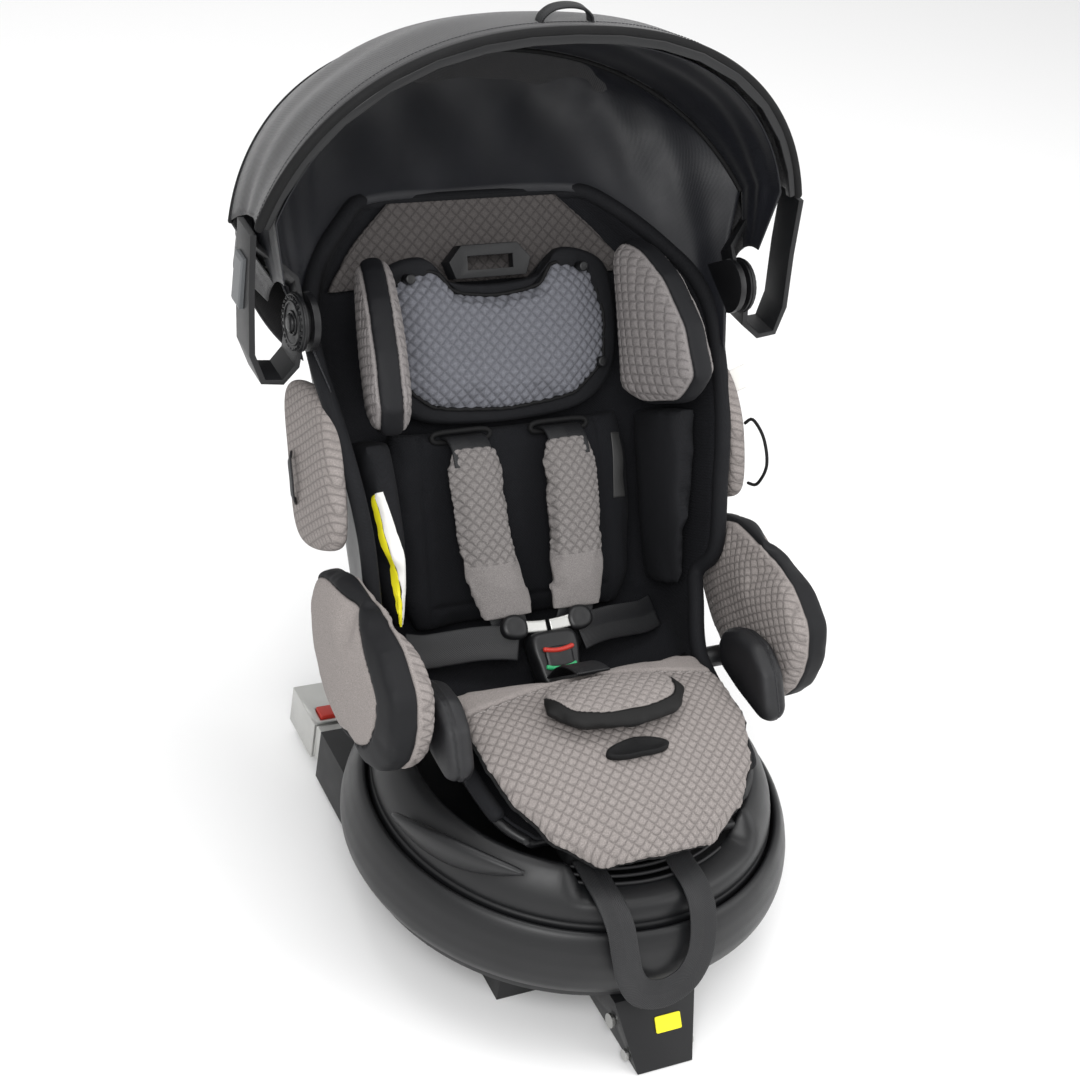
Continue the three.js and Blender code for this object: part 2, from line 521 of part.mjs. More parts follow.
const [pivotY, pivotZ] = HOOD_PIVOT;
const byAngle = (x, degrees, r) => {
  const angle = THREE.MathUtils.degToRad(degrees);
  return V(x, pivotY + r * Math.sin(angle), pivotZ + r * Math.cos(angle));
};
for (const [label, side] of SIDES) {
  const disc = (x0, x1, r) => rodX(...span(side, x0, x1), pivotY, pivotZ, r, 24);
  const bore = rodX(...span(side, 190, 230), pivotY, pivotZ, 5.4);
  const bracketOutline = [[206, 470], [226, 500], [268, 470], [258, 440], [232, 446]];
  const bracket = plate(bracketOutline, ...span(side, 197.5, 202));
  add(`hood_mount_${label}`, shaped(join(disc(197.5, 203, 24), bracket, disc(202, 216, 5))), BLACK_PLASTIC);
  const squareOn = () => byAngle(0, 135, 1).sub(byAngle(0, 135, 0));
  const rise = [[205.4, 12], [206, 34], [236, 66], [237.5, 86]].map(([x, r]) => byAngle(side * x, 45, r));
  const midArm = strip(rise, 18, 4, squareOn);
  const lug = strip([[237, 80], [237.5, 93]].map(([x, r]) => byAngle(side * x, 45, r)), 4.2, 4, squareOn);
  midBow = midBow.add(cut(join(disc(203.4, 207.4, 17), midArm, lug), bore));
  const bend = [
    [211, 216, 468], [213, 214, 448], [226, 208, 438], [243, 208, 440], [252, 214, 462], [253, 224, 510],
    [253.5, 230, 560],
  ];
  const frontArm = strip(bend.map(([x, y, z]) => V(side * x, y, z)), 32, 5, () => V(0, 1, 0));
  add(`hood_arm_${label}`, shaped(cut(join(disc(207.8, 213.4, 24), frontArm), bore)), BLACK_PLASTIC);
}
add('mid_bow', shaped(midBow), BLACK_PLASTIC);

// ---- elastic loop on the right flank ----
const elasticPath = new THREE.CatmullRomCurve3(
  [[204.2, 150, 374], [208, 145, 380], [210, 126, 372], [210, 112, 352], [208, 116, 330], [204.2, 124, 326]]
    .map(([x, y, z]) => V(x, y, z)));
const elasticShape = new THREE.Shape();
elasticShape.absarc(0, 0, 1.5, 0, Math.PI * 2, false);
add('elastic_loop', new THREE.ExtrudeGeometry(elasticShape, {
  steps: 18, curveSegments: 4, extrudePath: elasticPath, bevelEnabled: false,
}), RUBBER);

group.position.y = -MIDDLE_Y;

export default group;
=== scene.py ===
"""Convertible car seat on a swivelling base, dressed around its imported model."""
import math

import bmesh
import bpy
import numpy as np
from mathutils import Matrix, Vector
from mathutils.bvhtree import BVHTree


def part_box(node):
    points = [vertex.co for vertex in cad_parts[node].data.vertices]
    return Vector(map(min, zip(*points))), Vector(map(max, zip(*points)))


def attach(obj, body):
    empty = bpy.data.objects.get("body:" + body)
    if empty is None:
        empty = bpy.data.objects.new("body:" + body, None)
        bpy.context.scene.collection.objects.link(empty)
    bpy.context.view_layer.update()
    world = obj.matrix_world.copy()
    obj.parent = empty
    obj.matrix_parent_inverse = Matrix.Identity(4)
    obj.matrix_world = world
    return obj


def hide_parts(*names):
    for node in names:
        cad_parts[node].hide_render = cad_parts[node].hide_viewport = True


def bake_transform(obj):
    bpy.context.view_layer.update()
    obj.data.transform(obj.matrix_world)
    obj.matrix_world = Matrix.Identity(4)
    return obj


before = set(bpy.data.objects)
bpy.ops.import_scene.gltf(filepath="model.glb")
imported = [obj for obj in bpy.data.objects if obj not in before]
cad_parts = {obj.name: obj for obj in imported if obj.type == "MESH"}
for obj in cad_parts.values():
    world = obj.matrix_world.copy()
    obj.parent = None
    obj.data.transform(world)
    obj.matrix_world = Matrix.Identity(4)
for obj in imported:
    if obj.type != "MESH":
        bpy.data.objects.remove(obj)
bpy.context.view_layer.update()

# ---------------------------------------------------------------------------------------------------------
# Room: a pale floor under the seat, soft studio lamps, and a camera above the front left corner, turned a
# little clockwise. The swivel axis is the middle of the base ring.
ring_low, ring_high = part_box("base_ring")
SWIVEL = Vector(((ring_low[0] + ring_high[0]) / 2, (ring_low[1] + ring_high[1]) / 2, 0))
MM = 0.001


def place(x, y, z):
    """A point in millimetres about the swivel axis, as a vector in the row frame."""
    return SWIVEL + Vector((x, y, z)) * MM


CAMERA_TURN = math.radians(-31.5)
CAMERA_LIFT = math.radians(33.9)
CAMERA_ROLL = math.radians(10.8)
CAMERA_REACH = 1.577
backwards = Vector((
    math.sin(CAMERA_TURN) * math.cos(CAMERA_LIFT),
    -math.cos(CAMERA_TURN) * math.cos(CAMERA_LIFT),
    math.sin(CAMERA_LIFT),
))
level = (-backwards).cross(Vector((0, 0, 1))).normalized()
upright = level.cross(-backwards)
across = level * math.cos(CAMERA_ROLL) + upright * math.sin(CAMERA_ROLL)
above = upright * math.cos(CAMERA_ROLL) - level * math.sin(CAMERA_ROLL)
camera = bpy.data.objects.new("camera", bpy.data.cameras.new("camera"))
camera.data.lens = 67.2
camera.data.sensor_width = 36
turn = Matrix((across, above, backwards)).transposed().to_4x4()
camera.matrix_world = Matrix.Translation(place(-77.6, 0, 392.4) + backwards * CAMERA_REACH) @ turn
bpy.context.scene.collection.objects.link(camera)
bpy.context.scene.camera = camera


def lamp(name, spot, size, power):
    light = bpy.data.objects.new(name, bpy.data.lights.new(name, "AREA"))
    light.data.size = size
    light.data.energy = power
    light.location = spot
    light.rotation_euler = (Vector((0, 0, 0.35)) - Vector(spot)).to_track_quat("-Z", "Y").to_euler()
    bpy.context.scene.collection.objects.link(light)


lamp("key", (-1.3, -1.9, 2.2), 1.5, 52)
lamp("fill", (1.9, -1.1, 1.5), 2.0, 22)
lamp("top", (0.1, 0.5, 2.6), 1.8, 26)
world = bpy.data.worlds.new("studio")
world.use_nodes = True
world.node_tree.nodes["Background"].inputs["Color"].default_value = (1, 1, 1, 1)
world.node_tree.nodes["Background"].inputs["Strength"].default_value = 0.72
bpy.context.scene.world = world
bpy.context.scene.view_settings.view_transform = "Standard"


class Value:
    """A shader socket that takes arithmetic: each operation adds its Math node."""

    def __init__(self, tree, socket):
        self.tree = tree
        self.socket = socket

    def math(self, operation, other=None, swap=False):
        node = self.tree.nodes.new("ShaderNodeMath")
        node.operation = operation
        pair = [self, other]
        if swap:
            pair.reverse()
        for slot, item in zip(node.inputs, pair):
            if isinstance(item, Value):
                self.tree.links.new(item.socket, slot)
            elif item is not None:
                slot.default_value = item
        return Value(self.tree, node.outputs[0])

    def __add__(self, other):
        return self.math("ADD", other)

    def __radd__(self, other):
        return self.math("ADD", other)

    def __sub__(self, other):
        return self.math("SUBTRACT", other)

    def __rsub__(self, other):
        return self.math("SUBTRACT", other, swap=True)

    def __mul__(self, other):
        return self.math("MULTIPLY", other)

    def __rmul__(self, other):
        return self.math("MULTIPLY", other)

    def __truediv__(self, other):
        return self.math("DIVIDE", other)

    def __gt__(self, other):
        return self.math("GREATER_THAN", other)

    def __lt__(self, other):
        return self.math("LESS_THAN", other)


class Finish:
    """A material and the nodes that make it, by way of one Principled shader."""

    def __init__(self, name, **sockets):
        self.material = bpy.data.materials.new(name)
        self.material.use_nodes = True
        self.tree = self.material.node_tree
        self.shader = self.tree.nodes["Principled BSDF"]
        for key, value in sockets.items():
            self.set(key.replace("_", " "), value)

    def fill(self, socket, value):
        if isinstance(value, Value):
            self.tree.links.new(value.socket, socket)
        elif isinstance(value, tuple) and socket.type == "RGBA":
            socket.default_value = (*value, 1)
        else:
            socket.default_value = value

    def set(self, socket, value):
        self.fill(self.shader.inputs[socket], value)

    def node(self, kind, settings=None, output=0, **inputs):
        made = self.tree.nodes.new(kind)
        for key, value in (settings or {}).items():
            setattr(made, key, value)
        for key, value in inputs.items():
            numbered = key[0] == "i" and key[1:].isdigit()
            self.fill(made.inputs[int(key[1:]) if numbered else key.replace("_", " ")], value)
        return Value(self.tree, made.outputs[output])

    def spot(self):
        """Object coordinates, in metres."""
        return self.node("ShaderNodeTexCoord", output=3)

    def axes(self, vector):
        split = self.tree.nodes.new("ShaderNodeSeparateXYZ")
        self.tree.links.new(vector.socket, split.inputs[0])
        return [Value(self.tree, split.outputs[i]) for i in range(3)]

    def flat(self):
        """The piece's own flat pattern coordinates, in metres: across it and along it."""
        return self.axes(self.node("ShaderNodeTexCoord", output=2))[:2]

    def noise(self, scale, detail=2.0):
        return self.node("ShaderNodeTexNoise", Vector=self.spot(), Scale=scale, Detail=detail)

    def painted(self, name):
        """A number stored on the mesh's points."""
        return self.node("ShaderNodeAttribute", {"attribute_name": name}, output=2)

    def blend(self, factor, first, second):
        return self.node("ShaderNodeMix", {"data_type": "RGBA"}, output=2, i0=factor, i6=first, i7=second)

    def bump(self, height, strength, distance=0.001):
        normal = self.node("ShaderNodeBump", Height=height, Strength=strength, Distance=distance)
        self.tree.links.new(normal.socket, self.shader.inputs["Normal"])


def new_piece(name, vertices, faces, material, smooth=True, turn_out=True):
    """A mesh object in the row frame, its faces turned outwards."""
    mesh = bpy.data.meshes.new(name)
    mesh.from_pydata([tuple(v) for v in vertices], [], faces)
    if turn_out:
        work = bmesh.new()
        work.from_mesh(mesh)
        bmesh.ops.remove_doubles(work, verts=work.verts, dist=1e-6)
        bmesh.ops.recalc_face_normals(work, faces=work.faces)
        work.to_mesh(mesh)
        work.free()
    mesh.polygons.foreach_set("use_smooth", [smooth] * len(mesh.polygons))
    made = bpy.data.objects.new(name, mesh)
    bpy.context.scene.collection.objects.link(made)
    mesh.materials.append(material)
    return made


floor_paint = Finish("floor_paint", Base_Color=(0.92, 0.92, 0.92), Roughness=0.8)
HALF_FLOOR = 6
corners = [(a * HALF_FLOOR, b * HALF_FLOOR, -0.0006) for a, b in ((-1, -1), (1, -1), (1, 1), (-1, 1))]
new_piece("floor", corners, [(0, 1, 2, 3)], floor_paint.material, turn_out=False)


# ---------------------------------------------------------------------------------------------------------
# Base ring: a deep black moulding that the turntable sits in. Its wall bellies out and tucks in under the
# lower edge, and a rolled lip with a shallow step runs round the top.
def plastic(name, colour, roughness, grain=2600.0):
    """Moulded plastic with a fine spark-eroded grain, a little paler in clouds."""
    made = Finish(name, IOR=1.46)
    pale = tuple(c * 1.6 + 0.003 for c in colour)
    made.set("Base Color", made.blend((made.noise(14.0, 3.0) - 0.3) * 0.9, colour, pale))
    made.set("Roughness", made.noise(45.0, 3.0) * 0.16 + (roughness - 0.08))
    made.bump(made.noise(grain), 0.14, 0.0004)
    return made.material


SATIN_BLACK = plastic("satin_black", (0.0052, 0.0054, 0.0062), 0.42)
DULL_BLACK = plastic("dull_black", (0.0075, 0.0077, 0.0086), 0.58, 1500.0)


def settle(made, body, slot_name, *nodes):
    """What every finished piece has: its body and the nodes that it stands for. slot_name is not used."""
    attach(made, body)
    if nodes:
        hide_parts(*nodes)
    return made


def eased(profile, radius, steps=4):
    """A closed profile with its corners rounded by quadratic arcs."""
    made = []
    for i, corner in enumerate(profile):
        corner = Vector(corner)
        arms = []
        for other in (Vector(profile[i - 1]), Vector(profile[(i + 1) % len(profile)])):
            edge = other - corner
            arms.append(corner + edge.normalized() * min(radius, edge.length * 0.45))
        for k in range(steps + 1):
            t = k / steps
            made.append(tuple(arms[0] * (1 - t) ** 2 + corner * 2 * t * (1 - t) + arms[1] * t * t))
    return made


def turned(name, profile, material, segments=144):
    """A body of revolution about the swivel axis, from a closed profile of (radius, height)."""
    count = len(profile)
    vertices, faces = [], []
    for i in range(segments):
        angle = 2 * math.pi * i / segments
        vertices += [place(r * math.cos(angle), r * math.sin(angle), z) for r, z in profile]
        j = (i + 1) % segments
        for k in range(count):
            m = (k + 1) % count
            faces.append((i * count + k, j * count + k, j * count + m, i * count + m))
    return new_piece(name, vertices, faces, material)


RING = [
    (160, 60), (184, 60), (192, 65), (197, 74), (198, 84), (196.6, 96), (193, 109), (189.5, 117),
    (186.6, 121.5), (183.4, 123.4), (180.6, 122.6), (179.4, 119), (179, 109), (160, 107),
]
settle(turned("ring_shell", eased(RING, 3), SATIN_BLACK), "base", "black_plastic", "base_ring")
# A dark shadow gap and a skirt close the ring's underside down to the sled.
SKIRT = [(158, 50), (182, 50), (186, 60), (158, 60)]
settle(turned("ring_skirt", eased(SKIRT, 2), DULL_BLACK), "base", "black_plastic")


# ---------------------------------------------------------------------------------------------------------
# Turntable: a smooth black dome that the seat rocks in. Its rim rises round a well, dips at the front where
# the adjuster webbing comes out, and carries a fine moulded line.
DOME_WALL = [
    (176.2, 108), (177, 114), (177.2, 121), (176.2, 124), (175.4, 124.6), (175.6, 126), (175.2, 131),
    (173, 139), (169, 147), (164, 154), (158, 160), (153, 163.5), (150, 164), (147.6, 162.6), (147, 159),
    (147, 142), (60, 141),
]
WELL_FLOOR = 141.5
NOTCH_FROM, NOTCH_TO = -31, 42  # degrees either side of straight ahead


def ease(t):
    t = min(1, max(0, t))
    return t * t * (3 - 2 * t)


def dome():
    segments = 220
    rows = len(DOME_WALL)
    vertices, faces = [], []
    for i in range(segments):
        angle = 2 * math.pi * i / segments
        ahead = math.degrees(math.atan2(math.sin(angle + math.pi / 2), math.cos(angle + math.pi / 2)))
        dip = ease((ahead - NOTCH_FROM) / 7) * ease((NOTCH_TO - ahead) / 7)
        for r, z in DOME_WALL:
            low = min(z, WELL_FLOOR + (z - WELL_FLOOR) * 0.12)
            vertices.append(place(r * math.cos(angle), r * math.sin(angle), z + (low - z) * dip))
        j = (i + 1) % segments
        for k in range(rows - 1):
            faces.append((i * rows + k, j * rows + k, j * rows + k + 1, i * rows + k + 1))
    faces.append(tuple(i * rows + rows - 1 for i in range(segments)))
    faces.append(tuple(i * rows for i in range(segments)))
    return new_piece("dome", vertices, faces, SATIN_BLACK)


settle(dome(), "turntable", "black_plastic")


def around(count):
    """Angles evenly spaced once round."""
    return np.linspace(0, 2 * math.pi, count, endpoint=False)


def between_knots(a, b, c, d, t):
    """The smooth curve from b to c that a and d steer."""
    square = 2 * a - 5 * b + 4 * c - d
    cube = 3 * b - a - 3 * c + d
    return 0.5 * (2 * b + (c - a) * t + square * t * t + cube * t ** 3)


def catmull(points, count, closed=False):
    """Points evenly strung along a smooth curve through the given ones."""
    points = [Vector(p) for p in points]
    n = len(points)
    fine = []
    spans = n if closed else n - 1
    for i in range(spans):
        if closed:
            a, b, c, d = (points[(i + k) % n] for k in (-1, 0, 1, 2))
        else:
            a, b, c, d = (points[min(n - 1, max(0, i + k))] for k in (-1, 0, 1, 2))
        for k in range(12):
            fine.append(between_knots(a, b, c, d, k / 12))
    fine.append(points[0] if closed else points[-1])
    steps = np.array([0.0] + [(q - p).length for p, q in zip(fine, fine[1:])]).cumsum()
    wanted = np.linspace(0, steps[-1], count + (1 if closed else 0))
    if closed:
        wanted = wanted[:-1]
    table = np.array([tuple(p) for p in fine])
    columns = [np.interp(wanted, steps, table[:, k]) for k in range(table.shape[1])]
    return [Vector(row) for row in np.stack(columns, 1)]


def loft(name, rings, material, smooth=True):
    """Skin over a row of closed rings, each end closed by a fan."""
    count = len(rings[0])
    vertices = [p for ring in rings for p in ring]
    faces = []
    for i in range(len(rings) - 1):
        for j in range(count):
            k = (j + 1) % count
            faces.append((i * count + j, i * count + k, (i + 1) * count + k, (i + 1) * count + j))
    for i in (0, len(rings) - 1):
        hub = sum((Vector(p) for p in rings[i]), Vector((0, 0, 0))) / count
        vertices.append(hub)
        faces += [(i * count + j, i * count + (j + 1) % count, len(vertices) - 1) for j in range(count)]
    return new_piece(name, vertices, faces, material, smooth)


def tube(name, path, radius, material, sides=10):
    """A round rod along a path, its ends domed."""
    path = [Vector(p) for p in path]
    rings = []
    side = None
    for i, p in enumerate(path):
        along = (path[min(i + 1, len(path) - 1)] - path[max(i - 1, 0)]).normalized()
        side = (along.orthogonal() if side is None else side - along * side.dot(along)).normalized()
        out = along.cross(side)
        rings.append((p, along, side, out))
    skins = []
    for end, sign in ((0, -1), (len(path) - 1, 1)):
        p, along, side, out = rings[end]
        caps = [(0.9, 0.45), (0.6, 0.8)]
        made = []
        for k, lift in caps:
            middle = p + along * sign * radius * lift
            made.append([middle + (side * math.cos(a) + out * math.sin(a)) * radius * k
                         for a in around(sides)])
        skins.append(made)
    body = [[p + (side * math.cos(a) + out * math.sin(a)) * radius for a in around(sides)]
            for p, along, side, out in rings]
    return loft(name, skins[0][::-1] + body + skins[1], material)


# The dark panel in the notch: a shallow louvred insert under the seat's front lip.
for i in range(5):
    reach = 150 - 7 * i
    spread = np.radians(np.linspace(-118, -62, 26))
    ring_path = [place(reach * math.cos(a), reach * math.sin(a), 146 + 1.6 * i) for a in spread]
    settle(tube(f"louvre_{i}", ring_path, 0.0016, DULL_BLACK, 8), "turntable", "black_plastic")


# Swivel release lever: a crescent grip on the turntable's side, thin at its tips, hooked out for the fingers.
def lever():
    rings = []
    count = 48
    for i in range(count + 1):
        t = i / count
        angle = math.radians(187 + 42 * t)
        r = 180.5 - 4 * t
        tall = 2.5 + 11.5 * math.sin(math.pi * min(1, t * 1.02)) ** 0.8
        deep = 2 + 4.2 * math.sin(math.pi * t) ** 0.6
        hub = Vector((r * math.cos(angle), r * math.sin(angle), 148 + 21 * t))
        out = Vector((math.cos(angle), math.sin(angle), 0))
        ring = []
        for a in around(20):
            flare = 0.8 + 0.5 * math.sin(a)
            reach = math.cos(a) * deep * flare + 1.5
            ring.append(place(*(hub + out * reach + Vector((0, 0, math.sin(a) * tall)))))
        rings.append(ring)
    return loft("lever_grip", rings, SATIN_BLACK)


settle(lever(), "swivel_lever", "black_plastic", "swivel_lever")
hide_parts("turntable_dome")


# ---------------------------------------------------------------------------------------------------------
# Sled, support leg and anchor arms: the moulded underframe and its steelwork, with every edge broken. The leg
# lies folded under the sled and shows its housing, a pin's two heads and a blank yellow sticker at the front.
def metal(name, colour, roughness):
    made = Finish(name, Metallic=1.0)
    scratches = made.noise(620.0)
    made.set("Base Color", made.blend(made.noise(30.0) * 0.7, colour, tuple(c * 0.7 for c in colour)))
    made.set("Roughness", scratches * 0.2 + (roughness - 0.1))
    made.bump(scratches, 0.12, 0.0003)
    return made.material


ZINC = metal("zinc_steel", (0.6, 0.6, 0.58), 0.36)
RED_PLASTIC = plastic("red_button", (0.42, 0.03, 0.02), 0.36)


def baked(made):
    """The piece with its modifiers turned into plain mesh."""
    bpy.context.view_layer.update()
    graph = bpy.context.evaluated_depsgraph_get()
    shown = made.evaluated_get(graph)
    mesh = bpy.data.meshes.new_from_object(shown, preserve_all_data_layers=True, depsgraph=graph)
    made.modifiers.clear()
    made.data = mesh
    return made


def copied(name, nodes, material):
    """A merged copy of some nodes' meshes."""
    work = bmesh.new()
    for node in nodes:
        work.from_mesh(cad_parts[node].data)
    bmesh.ops.remove_doubles(work, verts=work.verts, dist=1e-5)
    mesh = bpy.data.meshes.new(name)
    work.to_mesh(mesh)
    work.free()
    made = bpy.data.objects.new(name, mesh)
    bpy.context.scene.collection.objects.link(made)
    mesh.materials.clear()
    mesh.materials.append(material)
    mesh.polygons.foreach_set("material_index", [0] * len(mesh.polygons))
    return made


def softened(name, node, material, radius, body, slot_name):
    """A hard moulding: the node's form with its edges rounded over."""
    made = copied(name, [node], material)
    work = bmesh.new()
    work.from_mesh(made.data)
    bmesh.ops.dissolve_limit(work, angle_limit=0.02, verts=work.verts, edges=work.edges)
    work.to_mesh(made.data)
    work.free()
    bevel = made.modifiers.new("broken_edges", "BEVEL")
    bevel.width = radius
    bevel.segments = 3
    bevel.limit_method = "ANGLE"
    bevel.angle_limit = math.radians(32)
    bevel.use_clamp_overlap = True
    baked(made)
    made.data.polygons.foreach_set("use_smooth", [True] * len(made.data.polygons))
    made.data.set_sharp_from_angle(angle=math.radians(38))
    return settle(made, body, slot_name, node)


softened("sled_frame", "base_sled", DULL_BLACK, 0.0025, "base", "black_plastic")
softened("housing", "leg_housing", SATIN_BLACK, 0.002, "base", "black_plastic")
softened("leg_outer", "leg_tube", ZINC, 0.0012, "leg", "steel")
softened("leg_inner", "leg_foot", ZINC, 0.002, "leg_foot", "steel")
softened("leg_catch", "leg_button", RED_PLASTIC, 0.0012, "leg_button", "red_plastic")
softened("grip_bar", "recline_handle", SATIN_BLACK, 0.0022, "recline_handle", "black_plastic")
softened("webbing_catch", "adjuster_button", DULL_BLACK, 0.0015, "adjuster_button", "black_plastic")
softened("rocker", "seat_rocker", DULL_BLACK, 0.002, "seat", "black_plastic")
for side in ("left", "right"):
    softened(f"anchor_{side}_latch", f"anchor_arm_{side}", ZINC, 0.0016, f"anchor_{side}", "steel")
    button = f"anchor_button_{side}"
    softened(f"anchor_{side}_catch", button, RED_PLASTIC, 0.0012, button, "red_plastic")
for node in ("swivel_bearing", "leg_pivot_pin", "leg_stop_pin"):
    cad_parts[node].data.materials.clear()
    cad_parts[node].data.materials.append(ZINC)

STICKER_YELLOW = plastic("sticker_yellow", (0.8, 0.72, 0.02), 0.42)
LABEL_WHITE = plastic("label_white", (0.74, 0.73, 0.7), 0.5)
LABEL_INK = plastic("label_ink", (0.03, 0.03, 0.03), 0.5)


def patch(name, corners, lift, material, body, slot_name, steps=8, radius=0.12):
    """A thin sticker over four corners, set a hair above what it sticks to."""
    a, b, c, d = (Vector(p) for p in corners)
    normal = (b - a).cross(d - a).normalized()
    rows = []
    for i in range(4 * steps):
        angle = 2 * math.pi * i / (4 * steps)
        u, v = (math.copysign(abs(f(angle)) ** radius, f(angle)) * 0.5 + 0.5 for f in (math.cos, math.sin))
        rows.append(a * (1 - u) * (1 - v) + b * u * (1 - v) + c * u * v + d * (1 - u) * v)
    rings = [[p + normal * h for p in rows] for h in (-0.0004, lift)]
    return settle(loft(name, rings, material, smooth=False), body, slot_name)


# The housing's front wall slopes from its foot to its head; the sticker lies on it.
def on_housing(x, z):
    return place(x, -225.2 + (z - 0.5) * 38 / 49.5 - 0.6, z)


housing_corners = [on_housing(x, z) for x, z in ((-4, 24), (20, 24), (20, 35), (-4, 35))]
patch("housing_sticker", housing_corners, 0.0005, STICKER_YELLOW, "base", "black_plastic")


# ---------------------------------------------------------------------------------------------------------
# Seat shell: one deep bucket moulded in black plastic. A fabric lining covers its inside, and the lining's
# edge is a padded roll that runs round the whole rim.
SIDES = (("left", -1), ("right", 1))
LEAN = math.radians(30)
BACK_FOOT = (118, 195)


def back_plane(s, p):
    """y and z of a point s up the backrest and p out of it."""
    y = BACK_FOOT[0] + s * math.sin(LEAN) - p * math.cos(LEAN)
    z = BACK_FOOT[1] + s * math.cos(LEAN) + p * math.sin(LEAN)
    return y, z


def on_back(x, s, p):
    return place(x, *back_plane(s, p))


def back_station(s, p, floor, rim, height):
    return (*back_plane(s, p), -math.cos(LEAN), math.sin(LEAN), floor, rim, height)


# Stations from front to top: y, z, the walls' direction in y and z, half-width at floor and rim, wall height.
STATIONS = [
    (-106, 170, 0, 1, 92, 100, 8), (-76, 172, 0, 1, 110, 120, 14), (0, 176, 0, 1, 118, 128, 24),
    (42, 178, 0, 1, 122, 132, 32), (90, 179, -0.1, 0.995, 130, 146, 60), (150, 190, -0.6, 0.8, 136, 156, 76),
    back_station(60, -34, 140, 165, 92),
    back_station(120, -34, 145, 170, 100),
    back_station(190, -36, 150, 180, 98),
    back_station(285, -42, 152, 189, 74),
    back_station(345, -49, 128, 160, 40),
    back_station(390, -50, 92, 112, 12),
]
STEPS_UP = 72
STEPS_ROUND = 40
# Across one side of a station: share of the half-width, of the flare and of the wall's height.
WALL_PROFILE = [
    (1, 1, 1), (1, 0.8, 0.8), (1, 0.62, 0.55), (1, 0.4, 0.26),
    (0.97, 0, 0.07), (0.8, 0, 0.01), (0.5, 0, 0), (0, 0, 0),
]


def shell_row(t, inset):
    """Points across the bucket at t of the way from its lip to its top, set in from its inner face."""
    floats = np.array(STATIONS)
    place_in = t * (len(STATIONS) - 1)
    i = min(len(STATIONS) - 2, int(place_in))
    knots = [floats[min(len(STATIONS) - 1, max(0, i + k))] for k in (-1, 0, 1, 2)]
    y, z, dy, dz, floor, rim, height = between_knots(*knots, place_in - i)
    row = []
    for side in (-1, 1):
        half = [Vector((
            side * (share * floor + (rim - floor) * flare - inset * min(1, rise * 6 + 0.1) * share),
            y + dy * (height * rise + inset * (1 - rise)),
            z + dz * (height * rise + inset * (1 - rise)),
        )) for share, flare, rise in WALL_PROFILE]
        half = catmull(half, STEPS_ROUND // 2 + 1)
        row += half if side < 0 else half[::-1][1:]
    return [place(*p) for p in row]


def shell_grid(inset):
    return [shell_row(i / STEPS_UP, inset) for i in range(STEPS_UP + 1)]


def walled(name, grid, thickness, material):
    """A sheet over a grid of points, thickened to one side, all its edges closed."""
    rows, cols = len(grid), len(grid[0])
    faces = [(i * cols + j, i * cols + j + 1, (i + 1) * cols + j + 1, (i + 1) * cols + j)
             for i in range(rows - 1) for j in range(cols - 1)]
    made = new_piece(name, [p for row in grid for p in row], faces, material, turn_out=False)
    wall = made.modifiers.new("wall", "SOLIDIFY")
    wall.thickness = abs(thickness)
    wall.offset = 1 if thickness > 0 else -1
    wall.use_even_offset = False
    baked(made)
    work = bmesh.new()
    work.from_mesh(made.data)
    bmesh.ops.recalc_face_normals(work, faces=work.faces)
    work.to_mesh(made.data)
    work.free()
    made.data.polygons.foreach_set("use_smooth", [True] * len(made.data.polygons))
    return made


bucket = walled("bucket", shell_grid(0), -0.007, SATIN_BLACK)
settle(bucket, "seat", "black_plastic", "seat_shell")
for label, side in SIDES:
    rings = []
    for x, y, z in ((126, 44, 196), (150, 44, 198), (176, 44, 198)):
        middle = place(side * x, y, z)
        rings.append([middle + Vector((0, math.cos(a) * 0.011, math.sin(a) * 0.008)) for a in around(20)])
    settle(loft(f"shield_strut_{label}", rings, SATIN_BLACK), "seat", "black_plastic")
block_x, block_y, block_z = zip(place(-66, -116, 143), place(42, -94, 168))
block_corners = [(x, y, z) for x in block_x for y in block_y for z in block_z]
block_faces = [(0, 1, 3, 2), (4, 6, 7, 5), (0, 4, 5, 1), (2, 3, 7, 6), (0, 2, 6, 4), (1, 5, 7, 3)]
block = new_piece("webbing_guide", block_corners, block_faces, DULL_BLACK)
rim = block.modifiers.new("broken_edges", "BEVEL")
rim.width = 0.003
rim.segments = 3
settle(baked(block), "seat", "black_plastic")


# Cloth patterns are written once, for numbers on the mesh and for shader values alike.
def sine(x):
    return x.math("SINE") if isinstance(x, Value) else np.sin(x)


def absolute(x):
    return x.math("ABSOLUTE") if isinstance(x, Value) else np.abs(x)


def lower(x, y):
    return x.math("MINIMUM", y) if isinstance(x, Value) else np.minimum(x, y)


def to_nearest(x):
    """Distance to the nearest whole number."""
    if isinstance(x, Value):
        return ((x + 0.5).math("FRACT") - 0.5).math("ABSOLUTE")
    return np.abs(np.mod(x + 0.5, 1) - 0.5)


def scallops(u, v, cell=0.0105):
    """Distance to the nearest seam of a fish-scale quilting."""
    rise = cell * 0.5
    even = to_nearest(v / (2 * rise) - absolute(sine(u * (math.pi / cell))) * 0.42)
    odd = to_nearest(v / (2 * rise) - absolute(sine(u * (math.pi / cell) + math.pi / 2)) * 0.42 - 0.5)
    return lower(even, odd) * (2 * rise)


def diamonds(u, v, cell=0.0112):
    """Distance to the nearest seam of a crossed quilting."""
    return lower(to_nearest((u + v) / cell), to_nearest((u - v) / cell)) * cell


def puff(distance, reach):
    """Height of the stuffing beside a seam, from 0 in the seam to 1."""
    t = lower(distance / reach, 1.0)
    return t * (2 - t)


def woven(u, v, pitch=0.0011):
    """A plain weave's height."""
    return sine(u * (2 * math.pi / pitch)) * sine(v * (2 * math.pi / pitch))


